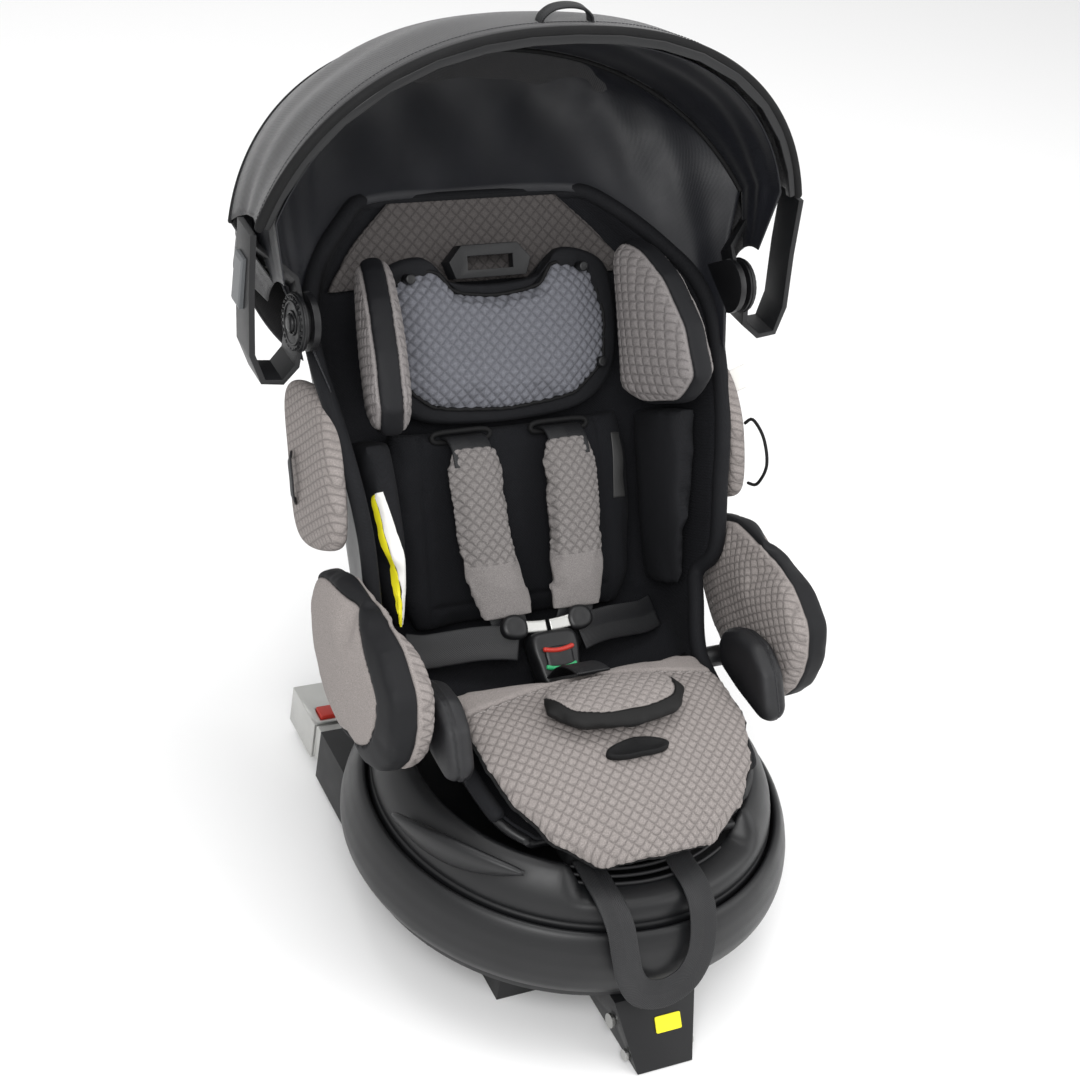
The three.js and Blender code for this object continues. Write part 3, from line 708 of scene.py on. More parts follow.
def quilt(name, colour, pattern=None, reach=0.003, fade=None, trim=None, groove_shade=0.5):
    """Heather knit with quilting seams. A trim takes its place past the painted band's edge."""
    made = Finish(name, Roughness=0.92, Specular_IOR_Level=0.3)
    u, v = made.flat()
    flecks = made.noise(1500.0, 3.0)
    cloudy = made.noise(22.0, 3.0)
    dark = tuple(c * 0.62 for c in colour)
    pale = tuple(min(1, c * 1.3) for c in colour)
    tone = made.blend((flecks - 0.32) * 2.4, dark, pale)
    tone = made.blend((cloudy - 0.4) * 0.7, tone, tuple(c * 0.86 for c in colour))
    height = woven(u, v) * 0.07 + flecks * 0.2
    if pattern:
        rise = puff(pattern(u, v), reach)
        if fade is not None:
            rise = 1 - (1 - rise) * made.painted("quilted")
        # Painted shade: the quilting grooves are darkened towards their bottoms, by the amount that the
        # argument gives.
        tone = made.blend((1 - rise) * groove_shade, tone, tuple(c * 0.3 for c in colour))
        height = height + rise * 1.2
    if trim:
        band = made.painted("band") < 0.0
        seam = puff(absolute(made.painted("band")), 0.0016)
        edge_grain = made.noise(1900.0, 2.0)
        trim_tone = made.blend(edge_grain, tuple(c * 0.7 for c in trim), tuple(c * 1.5 for c in trim))
        tone = made.blend(band, tone, trim_tone)
        # Painted shade: the seam between the quilt and the trim is darkened to near black down its groove.
        tone = made.blend((1 - seam) * 0.75, tone, (0.004, 0.004, 0.005))
        height = height * (1 - band * 0.85) + seam * 1.2
        made.set("Roughness", 0.9 - band * 0.24)
    made.set("Base Color", tone)
    made.bump(height, 0.55, 0.0012)
    return made.material


def knit(name, colour, pitch=0.0026, hole=0.35, roughness=0.88, strength=0.5):
    """Black spacer mesh: staggered holes in a knitted face."""
    made = Finish(name, Specular_IOR_Level=0.3)
    u, v = made.flat()
    holes = puff(diamonds(u, v, pitch), pitch * hole)
    pale = tuple(c * 1.9 + 0.001 for c in colour)
    # Painted shade: the low lines between the knit's cells are darkened to about a third of its colour.
    tone = made.blend(holes, tuple(c * 0.35 for c in colour), colour)
    tone = made.blend((made.noise(1300.0, 3.0) - 0.4) * 1.2, tone, pale)
    made.set("Base Color", tone)
    made.set("Roughness", made.noise(60.0) * 0.12 + (roughness - 0.06))
    made.bump(holes + made.noise(1700.0) * 0.3, strength, 0.0008)
    return made.material


def leather(name, colour, roughness):
    """Soft-touch leathercloth with a pebbled grain."""
    made = Finish(name)
    pebbles = {"feature": "DISTANCE_TO_EDGE"}
    grain = made.node("ShaderNodeTexVoronoi", pebbles, Vector=made.spot(), Scale=1100.0)
    worn = (made.noise(18.0, 3.0) - 0.3) * 0.9
    made.set("Base Color", made.blend(worn, colour, tuple(c * 1.8 for c in colour)))
    made.set("Roughness", made.noise(70.0) * 0.2 + (roughness - 0.1))
    made.bump(lower(grain * 9, 0.4) + made.noise(380.0) * 0.25, 0.42, 0.0006)
    return made.material


WARM_GREY = (0.29, 0.262, 0.25)
COOL_GREY = (0.168, 0.172, 0.195)
NAVY_BLACK = (0.0042, 0.0046, 0.0066)
BACK_MESH = knit("back_mesh", NAVY_BLACK)
SMOOTH_KNIT = knit("smooth_knit", (0.0048, 0.0052, 0.0072), 0.0013, 0.5, 0.8, 0.3)
LEATHER = leather("leathercloth", (0.0052, 0.0054, 0.0068), 0.5)


def charted(made, chart):
    """Gives the piece flat pattern coordinates, in metres, from a function of its points in millimetres."""
    mesh = made.data
    co = np.zeros(len(mesh.vertices) * 3)
    mesh.vertices.foreach_get("co", co)
    co = (co.reshape(-1, 3) - np.array(SWIVEL)) / MM
    u, v = chart(co[:, 0], co[:, 1], co[:, 2])
    layer = mesh.uv_layers.get("pattern") or mesh.uv_layers.new(name="pattern")
    index = np.zeros(len(mesh.loops), dtype=np.int64)
    mesh.loops.foreach_get("vertex_index", index)
    layer.data.foreach_set("uv", (np.stack([u, v], 1)[index] * MM).ravel())
    mesh.uv_layers.active = layer
    return u * MM, v * MM


def back_chart(x, y, z):
    """Across the seat, and up the backrest."""
    return x, (y - BACK_FOOT[0]) * math.sin(LEAN) + (z - BACK_FOOT[1]) * math.cos(LEAN)


def side_chart(x, y, z):
    """Along and up the seat's flank."""
    return y + x * 0.25, z + x * 0.25


lining = walled("seat_lining", shell_grid(1.2), 0.0025, BACK_MESH)
charted(lining, lambda x, y, z: (x, np.where(z > 200, z * 1.1 + y * 0.3, y)))
settle(lining, "seat", "black_mesh")
rim_path = [row[0] for row in shell_grid(-1)][6:]
top_row = shell_grid(-1)[-1]
rim_path += top_row[1:-1]
rim_path += [row[-1] for row in shell_grid(-1)][6:][::-1]
rim_path = catmull(rim_path[::3] + [rim_path[-1]], 220)
roll = tube("rim_roll", rim_path, 0.0072, SMOOTH_KNIT, 14)
charted(roll, side_chart)
settle(roll, "seat", "black_mesh")


# ---------------------------------------------------------------------------------------------------------
# Padding: knit covers stuffed with foam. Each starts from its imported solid, is filled by a short cloth
# simulation, and then takes its quilting, seams and trim.
def padding(name, nodes, material, voxel=0.0045, rounds=10, swell=0.006, pressure=4.0, shrink=0.0012):
    """The nodes' form as a stuffed cover: rounded, blown up by cloth, and refined once."""
    made = copied(name, nodes, material)
    remesh = made.modifiers.new("even_mesh", "REMESH")
    remesh.mode = "VOXEL"
    remesh.voxel_size = voxel
    rounding = made.modifiers.new("rounding", "SMOOTH")
    rounding.factor = 0.5
    rounding.iterations = rounds
    slack = made.modifiers.new("slack", "DISPLACE")
    slack.strength = -shrink
    slack.mid_level = 0
    baked(made)
    if swell:
        blown(made, pressure, swell)
    finer = made.modifiers.new("finer", "SUBSURF")
    finer.levels = 1
    finer.render_levels = 1
    baked(made)
    made.data.polygons.foreach_set("use_smooth", [True] * len(made.data.polygons))
    return made


def blown(made, pressure, swell):
    """Cloth pressure from inside for twenty frames, no point moving further than swell."""
    scene = bpy.context.scene
    rest = points_of(made.data)
    cloth = made.modifiers.new("stuffing", "CLOTH")
    cloth.settings.use_pressure = True
    cloth.settings.uniform_pressure_force = pressure
    cloth.settings.effector_weights.gravity = 0
    cloth.settings.quality = 4
    cloth.point_cache.frame_start = 1
    cloth.point_cache.frame_end = 20
    for tick in range(1, 21):
        scene.frame_set(tick)
    graph = bpy.context.evaluated_depsgraph_get()
    moved = points_of(made.evaluated_get(graph).data) - rest
    made.modifiers.clear()
    scene.frame_set(1)
    far = np.linalg.norm(moved, axis=1, keepdims=True)
    moved *= np.minimum(1, swell / np.maximum(far, 1e-9))
    made.data.vertices.foreach_set("co", (rest + moved).ravel())
    made.data.update()


def points_of(mesh):
    co = np.zeros(len(mesh.vertices) * 3)
    mesh.vertices.foreach_get("co", co)
    return co.reshape(-1, 3)


def normals_of(mesh):
    facing = np.zeros(len(mesh.vertices) * 3)
    mesh.vertices.foreach_get("normal", facing)
    return facing.reshape(-1, 3)


def painted(made, name, values):
    layer = made.data.attributes.get(name) or made.data.attributes.new(name, "FLOAT", "POINT")
    layer.data.foreach_set("value", np.asarray(values, dtype=np.float32))


def raised(made, heights):
    """Moves every point along its normal."""
    co = points_of(made.data) + normals_of(made.data) * np.asarray(heights)[:, None]
    made.data.vertices.foreach_set("co", co.ravel())
    made.data.update()


def swivel_mm(made):
    return (points_of(made.data) - np.array(SWIVEL)) / MM


def inside_by(points, outline):
    """How far each flat point lies inside a closed outline, in the outline's units."""
    a = np.array(outline, dtype=float)
    b = np.roll(a, -1, axis=0)
    best = np.full(len(points), 1e9)
    crossings = np.zeros(len(points), dtype=int)
    for p, q in zip(a, b):
        edge = q - p
        t = np.clip(((points - p) @ edge) / max(edge @ edge, 1e-9), 0, 1)
        best = np.minimum(best, np.linalg.norm(points - (p + t[:, None] * edge), axis=1))
        spans = (p[1] > points[:, 1]) != (q[1] > points[:, 1])
        with np.errstate(divide="ignore", invalid="ignore"):
            x = p[0] + (points[:, 1] - p[1]) / (q[1] - p[1]) * edge[0]
        crossings += spans & (points[:, 0] < x)
    return np.where(crossings % 2 == 1, best, -best)


def quilted(made, chart, pattern, depth, where=None, reach=0.0034):
    """Sews the pattern into the mesh itself, and lays the same pattern coordinates on it."""
    u, v = charted(made, chart)
    share = np.ones(len(u)) if where is None else where
    painted(made, "quilted", share)
    raised(made, -depth * (1 - puff(pattern(u, v), reach)) * share)
    return made


def stitch_tree():
    """Stitches along an edge path: spacing, length and thread thickness are inputs."""
    tree = bpy.data.node_groups.new("stitch_row", "GeometryNodeTree")
    face = tree.interface
    face.new_socket("Path", in_out="INPUT", socket_type="NodeSocketGeometry")
    for label in ("Spacing", "Length", "Thickness"):
        face.new_socket(label, in_out="INPUT", socket_type="NodeSocketFloat")
    face.new_socket("Thread", in_out="INPUT", socket_type="NodeSocketMaterial")
    face.new_socket("Stitches", in_out="OUTPUT", socket_type="NodeSocketGeometry")
    enter = tree.nodes.new("NodeGroupInput")
    leave = tree.nodes.new("NodeGroupOutput")

    def step(kind, settings=None, **links):
        made = tree.nodes.new(kind)
        for key, value in (settings or {}).items():
            setattr(made, key, value)
        for key, value in links.items():
            socket = made.inputs[key.replace("_", " ")]
            if isinstance(value, bpy.types.NodeSocket):
                tree.links.new(value, socket)
            else:
                socket.default_value = value
        return made

    given = enter.outputs
    curve = step("GeometryNodeMeshToCurve", Mesh=given["Path"]).outputs[0]
    by_length = {"mode": "LENGTH"}
    even = step("GeometryNodeResampleCurve", by_length, Curve=curve, Length=given["Spacing"]).outputs[0]
    along = step("GeometryNodeInputTangent").outputs[0]
    aim = step("FunctionNodeAlignRotationToVector", {"axis": "Z"}, Vector=along).outputs[0]
    size = {"Radius": given["Thickness"], "Depth": given["Length"]}
    bead = step("GeometryNodeMeshCylinder", Vertices=6, **size).outputs[0]
    rows = step("GeometryNodeInstanceOnPoints", Points=even, Instance=bead, Rotation=aim).outputs[0]
    real = step("GeometryNodeRealizeInstances", Geometry=rows).outputs[0]
    dyed = step("GeometryNodeSetMaterial", Geometry=real, Material=given["Thread"]).outputs[0]
    tree.links.new(dyed, leave.inputs[0])
    return tree


STITCH_ROW = stitch_tree()


def stitches(name, lines, thread, body, slot_name, spacing=0.0034, length=0.0023, thickness=0.00035):
    """Rows of stitches along several paths, as one plain mesh."""
    vertices, edges = [], []
    for line in lines:
        edges += [(len(vertices) + i, len(vertices) + i + 1) for i in range(len(line) - 1)]
        vertices += [tuple(p) for p in line]
    mesh = bpy.data.meshes.new(name)
    mesh.from_pydata(vertices, edges, [])
    made = bpy.data.objects.new(name, mesh)
    bpy.context.scene.collection.objects.link(made)
    row = made.modifiers.new("stitch_row", "NODES")
    row.node_group = STITCH_ROW
    wanted = {"Spacing": spacing, "Length": length, "Thickness": thickness, "Thread": thread}
    for item in STITCH_ROW.interface.items_tree:
        if item.in_out == "INPUT" and item.name in wanted:
            row[item.identifier] = wanted[item.name]
    return settle(baked(made), body, slot_name)


def laid_on(made, path, lift=0.0002):
    """A path dropped onto a piece's nearest surface."""
    mesh = made.data
    tree = BVHTree.FromPolygons([v.co for v in mesh.vertices], [p.vertices for p in mesh.polygons])
    found = []
    for p in path:
        spot, normal, _, _ = tree.find_nearest(Vector(p))
        found.append(spot + normal * lift)
    return found


THREAD_GREY = plastic("thread_grey", (0.3, 0.28, 0.27), 0.8)
THREAD_BLACK = plastic("thread_black", (0.02, 0.02, 0.023), 0.7)
PIPING = knit("piping_black", (0.005, 0.005, 0.0058), 0.0012, 0.5, 0.75, 0.3)

# Backrest pad: black spacer mesh with an insert between two sewn channels.
back_pad = padding("back_pad", ["backrest_pad"], BACK_MESH, 0.005, 6, 0.004)
mm = swivel_mm(back_pad)
x_across, up_back = back_chart(mm[:, 0], mm[:, 1], mm[:, 2])
front_side = normals_of(back_pad.data) @ np.array((0, -math.cos(LEAN), math.sin(LEAN))) > 0.5
from_middle = np.abs(x_across)
channel = puff(lower(np.abs(from_middle - 88), np.abs(up_back - 34) + 200 * (from_middle > 88)), 7.0)
raised(back_pad, -0.003 * (1 - channel) * front_side)
charted(back_pad, back_chart)
settle(back_pad, "seat", "black_mesh", "backrest_pad")
SLOT_EDGE = ((-25, -3), (-25, 4), (0, 5), (25, 4), (25, -3), (0, -4))
for label, side in SIDES:
    slot_path = catmull([on_back(side * 48 + x, 183 + s, -2) for x, s in SLOT_EDGE], 60, True)
    ring = tube(f"harness_slot_{label}", slot_path + [slot_path[0]], 0.0024, PIPING, 8)
    settle(ring, "seat", "black_mesh")

# Side and thigh bolsters: mesh wings beside the back, leathercloth cheeks beside the thighs with a seam.
CHEEK_SEAM = [(-70, 216), (-64, 240), (-46, 256), (-18, 265), (8, 260), (24, 246)]
for label, side in SIDES:
    wing = padding(f"back_wing_{label}", [f"side_bolster_{label}"], SMOOTH_KNIT, 0.005, 8, 0.006)
    charted(wing, side_chart)
    settle(wing, "seat", "black_mesh", f"side_bolster_{label}")
    cheek = padding(f"thigh_cheek_{label}", [f"thigh_bolster_{label}"], LEATHER, 0.004, 10, 0.007)
    mm = swivel_mm(cheek)
    seam = puff(np.abs(np.abs(mm[:, 0]) - 151), 2.6)
    raised(cheek, -0.0022 * (1 - seam))
    settle(cheek, "seat", "black_leather", f"thigh_bolster_{label}")
    arc = laid_on(cheek, [place(side * 148.6, y, z) for y, z in catmull(CHEEK_SEAM, 60)])
    stitches(f"thigh_stitches_{label}", [arc], THREAD_BLACK, "seat", "black_leather")

# Quilted covers: one on each flank of the shell, and one inside its top whose grey is darkened as painted
# shade from the hood.
QUILT_SIDE = quilt("quilt_side", WARM_GREY, scallops)
FLANK = [(104, 44), (120, 66), (184, 70), (226, 52), (244, 6), (238, -34), (180, -30), (112, -22)]
# Share of the outline's size, and distance out from the seat's middle, from the outer face inwards.
FLANK_SECTION = [
    (0.5, 201.8), (0.8, 201.2), (0.93, 199.4), (0.985, 196.4),
    (1, 192.5), (0.99, 188), (0.95, 184), (0.8, 182),
]
flank_edge = catmull(FLANK, 72, True)
flank_hub = sum(flank_edge, Vector((0, 0))) / len(flank_edge)
for label, side in SIDES:
    rings = []
    for scale, x in FLANK_SECTION:
        ring = []
        for q in flank_edge:
            out = x - 4 * max(0, (q.x - 170) / 75)
            ring.append(on_back(side * out, *(flank_hub + (q - flank_hub) * scale)))
        rings.append(ring)
    cover = loft(f"flank_cover_{label}", rings, QUILT_SIDE)
    finer = cover.modifiers.new("finer", "SUBSURF")
    finer.levels = finer.render_levels = 2
    baked(cover)
    charted(cover, side_chart)
    settle(cover, "seat", "grey_quilt", f"side_cover_{label}")

# Painted shade: the top cover's grey is set dark to stand for the hood's shade over it.
QUILT_SHADED = quilt("quilt_painted_shade", (0.088, 0.08, 0.078), diamonds)
rows = [shell_row(t, 5)[5:-5] for t in np.linspace(0.86, 0.995, 40)]
top_cover = walled("top_cover", rows, 0.004, QUILT_SHADED)
quilted(top_cover, back_chart, diamonds, 0.0008)
settle(top_cover, "seat", "grey_quilt", "shell_top_cover")

# Seat cushion: pale heather apron with a fish-scale quilting, two sewn horns at the back and a slot in front
# of the crotch pad.
APRON = [(34, 222), (-20, 232), (-70, 228), (-110, 213), (-140, 190), (-157, 167)]
apron_steps = np.array([0.0] + [math.dist(a, b) for a, b in zip(APRON, APRON[1:])]).cumsum()


def apron_chart(x, y, z):
    """Across the cushion, and forwards over its front edge."""
    rows_y = [-row[0] for row in APRON]
    return x, np.interp(-y, rows_y, apron_steps) + np.maximum(0, -y - 157) + np.minimum(0, -y + 34)


QUILT_SEAT = quilt("quilt_seat", WARM_GREY, scallops, fade=True)
cushion = padding("cushion", ["seat_cushion"], QUILT_SEAT, 0.0042, 14, 0.007)
mm = swivel_mm(cushion)
horn = puff(np.abs(mm[:, 1] - 16 + np.abs(mm[:, 0]) * 0.16), 3.4)
plain = (mm[:, 1] > 16 - np.abs(mm[:, 0]) * 0.16) * 1.0
raised(cushion, -0.0028 * (1 - horn) * (normals_of(cushion.data)[:, 2] > 0.2))
quilted(cushion, apron_chart, scallops, 0.0009, 1 - plain)
settle(cushion, "seat", "grey_quilt", "seat_cushion")
for label, side in SIDES:
    seam_line = laid_on(cushion, [place(side * x, 15 - x * 0.16, 250) for x in np.linspace(46, 120, 40)])
    stitches(f"horn_stitches_{label}", [seam_line], THREAD_GREY, "seat", "grey_quilt")
# Down one side of the apron: y, z and half-width.
HEM_SIDE = [(-20, 214, 129), (-60, 210, 128), (-100, 195, 116), (-130, 172, 92), (-147, 151, 55)]
hem = [place(-half, y, z) for y, z, half in HEM_SIDE]
hem.append(place(0, -158, 159))
hem += [place(half, y, z) for y, z, half in HEM_SIDE[::-1]]
hem = laid_on(cushion, catmull(hem, 200), 0.0004)
settle(tube("cushion_hem", hem, 0.0016, PIPING, 8), "seat", "black_mesh")
CROTCH_SLOT = -82
CROTCH_SLOT_TOP = 233
slot_ring = catmull([(math.cos(a) * 29, math.sin(a) * 9.5 - 2) for a in around(16)], 64, True)
slot_rings = []
for scale, lift in ((1, -3), (1, 1.4), (0.93, 2.4), (0.8, 1.2), (0.5, 0.8)):
    top = CROTCH_SLOT_TOP + lift
    slot_rings.append([place(x * scale, CROTCH_SLOT + y * scale, top - 0.1 * abs(x)) for x, y in slot_ring])
settle(loft("strap_slot", slot_rings, PIPING), "seat", "black_mesh")


# ---------------------------------------------------------------------------------------------------------
# Side shields: thick padded discs on the shell's hips. Both faces are heather quilt, and a wide black band is
# sewn round the edge.
SHIELD = [
    (-45, 225), (-49, 255), (-40, 285), (-10, 304), (40, 311), (100, 308), (138, 290), (148, 252), (130, 215),
    (95, 188), (50, 177), (0, 184), (-30, 200),
]
SHIELD_COVER = quilt("quilt_shield", WARM_GREY, scallops, fade=True, trim=(0.0042, 0.0044, 0.0056))
shield_edge = catmull(SHIELD, 90, True)
for label, side in SIDES:
    nodes = [f"shield_pad_{label}", f"shield_shell_{label}"]
    shield = padding(f"shield_{label}", nodes, SHIELD_COVER, 0.005, 14, 0.009)
    mm = swivel_mm(shield)
    depth_in = inside_by(mm[:, 1:], shield_edge)
    outward = np.abs(mm[:, 0])
    forward = np.clip((60 - mm[:, 1]) / 100, 0, 1)
    outer_face = depth_in - 10 - 22 * forward * forward * (3 - 2 * forward)
    band = np.where(outward > 193, np.maximum(183 - outward, outer_face), 183 - outward)
    painted(shield, "band", band * MM)
    raised(shield, -0.0022 * (1 - puff(np.abs(band), 2.6)))
    inner_face = (band > 4) * (outward < 190) * 1.0
    quilted(shield, lambda x, y, z: (y + x * 0.3, z + x * 0.3), scallops, 0.0009, inner_face)
    settle(shield, "seat", "grey_quilt", *nodes)


# ---------------------------------------------------------------------------------------------------------
# Headrest: a hard shell with a black padded surround, a cool grey quilted pad notched for the height handle,
# and two deep wings with grey cheeks and a black band.
HEAD_OUTLINE = [
    (-70, 206), (0, 200), (70, 206), (104, 232), (112, 275), (104, 322), (64, 336), (42, 316), (0, 311),
    (-42, 316), (-64, 336), (-104, 322), (-112, 275), (-104, 232),
]
softened("head_plate", "headrest_shell", DULL_BLACK, 0.0025, "headrest", "black_plastic")
surround = catmull([(x * 1.07, 268 + (s - 270) * 1.1) for x, s in HEAD_OUTLINE], 110, True)
rings = []
SURROUND_SECTION = [
    (0.6, -24), (0.94, -24), (0.99, -21), (1, -16), (0.985, -10.5), (0.95, -8), (0.88, -8.5), (0.5, -12),
]
for scale, p in SURROUND_SECTION:
    rings.append([on_back(x * scale, 270 + (s - 270) * scale, p) for x, s in surround])
bezel = loft("head_surround", rings, SMOOTH_KNIT)
charted(bezel, back_chart)
settle(bezel, "headrest", "black_mesh")
QUILT_HEAD = quilt("quilt_head", COOL_GREY, diamonds, 0.0038, groove_shade=0.42)
head_pad = padding("head_pad", ["headrest_pad"], QUILT_HEAD, 0.0036, 8, 0.006)
mm = swivel_mm(head_pad)
quilted(head_pad, back_chart, diamonds, 0.0017, None, 0.0045)
settle(head_pad, "headrest", "cool_quilt", "headrest_pad")
head_edge = laid_on(head_pad, [on_back(x, s, -6) for x, s in catmull(HEAD_OUTLINE, 160, True)], 0.0006)
settle(tube("head_piping", head_edge + [head_edge[0]], 0.0019, PIPING, 8), "headrest", "black_mesh")
softened("height_handle", "headrest_handle", SATIN_BLACK, 0.0022, "headrest", "black_plastic")
for i, (x, s) in enumerate(((-84, 322), (84, 322), (-96, 236), (96, 236))):
    rings = [[on_back(x + math.cos(a) * r, s + math.sin(a) * r, p) for a in around(20)]
             for r, p in ((4.6, -10), (4.6, 1.6), (4, 2.6), (2.2, 2.2), (1, 2.6))]
    settle(loft(f"snap_{i}", rings, SATIN_BLACK), "headrest", "black_plastic")
# Painted shade: the wings take a darker warm grey that stands for the hood's shade over them.
WING_GREY_SHADED = (0.235, 0.218, 0.215)
WING_COVER = quilt("quilt_wing", WING_GREY_SHADED, scallops, fade=True, trim=(0.0042, 0.0044, 0.0058), groove_shade=0.4)


def wing_chart(x, y, z):
    """Up and along a headrest wing, turned a little so that both its faces take the quilting."""
    return z * 0.9 - y * 0.2, y * 0.9 + z * 0.2 + x * 0.5


for label, side in SIDES:
    wing = padding(f"head_wing_{label}", [f"headrest_wing_{label}"], WING_COVER, 0.0045, 12, 0.007)
    mm = swivel_mm(wing)
    p = (mm[:, 2] - BACK_FOOT[1]) * math.sin(LEAN) - (mm[:, 1] - BACK_FOOT[0]) * math.cos(LEAN)
    edge_x = np.abs(mm[:, 0]) - 120 - 0.28 * p
    band = np.where(edge_x < 1, -9 - edge_x, edge_x - 12)
    painted(wing, "band", band * MM)
    raised(wing, -0.0018 * (1 - puff(np.abs(band), 2.4)))
    quilted(wing, wing_chart, scallops, 0.0007, (band > 3) * 1.0)
    settle(wing, "headrest", "grey_quilt", f"headrest_wing_{label}")


# ---------------------------------------------------------------------------------------------------------
# Harness: black polyester webbing, quilted shoulder pads, a crotch pad with a bound edge, and a moulded
# buckle with a red release button and a green strip.
def webbing(name, colour, pitch):
    """Twill webbing: slanting ribs across it, mirrored about its middle."""
    made = Finish(name)
    u, v = made.flat()
    ribs = puff(to_nearest((v + absolute(u) * 0.9) / pitch) * pitch, pitch * 0.4)
    pale = tuple(c * 1.7 + 0.001 for c in colour)
    # Painted light: the ribs are painted paler as a highlight, and the hollows between them darker as shade.
    rib_highlight_and_shade = ribs * (made.noise(260.0) * 0.6 + 0.5)
    made.set("Base Color", made.blend(rib_highlight_and_shade, tuple(c * 0.5 for c in colour), pale))
    made.set("Roughness", 0.62 - ribs * 0.14)
    made.bump(ribs + made.noise(1500.0) * 0.2, 0.6, 0.0005)
    return made.material


WEBBING = webbing("polyester_webbing", (0.0055, 0.0057, 0.0068), 0.0019)
GREEN_PLASTIC = plastic("green_strip", (0.03, 0.33, 0.13), 0.4)


# Once round a strap's section: share of its half-width and of its half-thickness.
STRAP_SECTION = [
    (-1, 0), (-0.98, 0.7), (-0.9, 0.85), (-0.86, 1), (-0.5, 1), (0, 1), (0.5, 1), (0.86, 1), (0.9, 0.85),
    (0.98, 0.7), (1, 0), (0.98, -0.7), (0.86, -1), (0, -1), (-0.86, -1), (-0.98, -0.7),
]


def strap(name, path, width, thickness, out, steps=70):
    """Flat webbing along a path. out is its face's direction; u runs across it and v along it."""
    path = catmull(path, steps)
    rings, run = [], [0.0]
    across_flat = []
    for i, p in enumerate(path):
        along = (path[min(i + 1, steps - 1)] - path[max(i - 1, 0)]).normalized()
        face = Vector(out(i / (steps - 1))) if callable(out) else Vector(out)
        face = (face - along * face.dot(along)).normalized()
        side = along.cross(face)
        half, thick = width / 2, thickness / 2
        ring = []
        for u, w in STRAP_SECTION:
            ring.append(p + side * half * u + face * thick * w)
            across_flat.append((u * half, run[-1]))
        rings.append(ring)
        if i + 1 < steps:
            run.append(run[-1] + (path[i + 1] - p).length)
    made = loft(name, rings, WEBBING)
    table = np.array([tuple(q) for ring in rings for q in ring])
    co = points_of(made.data)
    nearest = [int(np.argmin(((table - c) ** 2).sum(1))) for c in co]
    flat = np.array(across_flat)[nearest]
    layer = made.data.uv_layers.new(name="pattern")
    index = np.zeros(len(made.data.loops), dtype=np.int64)
    made.data.loops.foreach_get("vertex_index", index)
    layer.data.foreach_set("uv", flat[index].ravel())
    return made


QUILT_HARNESS = quilt("quilt_harness", (0.215, 0.2, 0.195), scallops, fade=True, groove_shade=0.45)
# Straps' runs for the right side: up the back and out of it, or across, along and up from the swivel.
SHOULDER_RUN = ((184, -26), (183.5, -12), (183, -2), (181, 8), (172, 17), (158, 21))
TAIL_RUN = ((35, 30, 33), (31, 14, 33), (27, 2, 29), (22, -9, 22))
LAP_RUN = ((30, 80, 219), (44, 85, 219), (64, 92, 216), (88, 98, 211), (108, 103, 207), (124, 110, 206))
for label, side in SIDES:
    pad = padding(f"shoulder_pad_{label}", [f"harness_pad_{label}"], QUILT_HARNESS, 0.0034, 12, 0.005)
    mm = swivel_mm(pad)
    up_back = back_chart(mm[:, 0], mm[:, 1], mm[:, 2])[1]
    quilted(pad, back_chart, scallops, 0.0009, (up_back > 72) * 1.0)
    settle(pad, "seat", "grey_quilt", f"harness_pad_{label}")
    run = [on_back(side * 47, s, p) for s, p in SHOULDER_RUN]
    made = strap(f"shoulder_webbing_{label}", run, 0.038, 0.0024, lambda t: (0, t * 0.2 - 1, t * 0.5 + 0.1))
    settle(made, "seat", "webbing", f"shoulder_strap_{label}")
    run = [on_back(side * x, s, p) for x, s, p in TAIL_RUN]
    made = strap(f"shoulder_tail_{label}", run, 0.034, 0.0024, (0, -0.8, 0.62))
    settle(made, "seat", "webbing")
    run = [place(side * x, y, z) for x, y, z in LAP_RUN]
    made = strap(f"lap_webbing_{label}", run, 0.03, 0.0024, (0, -0.7, 0.6))
    settle(made, "seat", "webbing", f"lap_strap_{label}")

BUCKLE_AT = (66, 207)
BUCKLE_AXIS = (0.75, 0.66)


def on_buckle(u, v, w):
    """A point on the buckle: u across it, v along it, w out of its face."""
    (y, z), (a, b) = BUCKLE_AT, BUCKLE_AXIS
    return place(u, y + v * a - w * b, z + v * b + w * a)


def slab(name, outline, levels, material, count=56):
    """A moulded form over an outline on the buckle: levels are pairs of scale and height."""
    ring = catmull([Vector(p) for p in outline], count, True)
    return loft(name, [[on_buckle(u * k, v * k, w) for u, v in ring] for k, w in levels], material)


CASE = [
    (-15, -27), (0, -29), (15, -27), (19, -18), (21, -4), (23, 10), (21, 22),
    (12, 25), (-12, 25), (-21, 22), (-23, 10), (-21, -4), (-19, -18),
]
CASE_LEVELS = [
    (0.6, -11), (0.9, -11), (0.98, -8), (1, -3), (1, 4), (0.97, 8), (0.9, 10.6), (0.8, 11.4), (0.4, 11.8),
]
settle(slab("buckle_case", CASE, CASE_LEVELS, SATIN_BLACK), "seat", "black_plastic", "buckle_body")
BUTTON = [(-11, -9), (11, -9), (13, -2), (12, 8), (0, 10), (-12, 8), (-13, -2)]
BUTTON_LEVELS = [(0.5, 8), (1, 8), (1, 12.4), (0.94, 13.6), (0.7, 14), (0.3, 13.6)]
button = slab("release_button", BUTTON, BUTTON_LEVELS, SATIN_BLACK)
settle(button, "buckle_button", "red_plastic", "buckle_button")
for name, v, material in (("release_strip", 6, RED_PLASTIC), ("ready_strip", -9.5, GREEN_PLASTIC)):
    line = [on_buckle(u, v + u * u / 90, 13.4 if v > 0 else 12.2) for u in np.linspace(-13, 13, 24)]
    settle(tube(name, line, 0.0022, material, 10), "buckle_button" if v > 0 else "seat", "red_plastic")
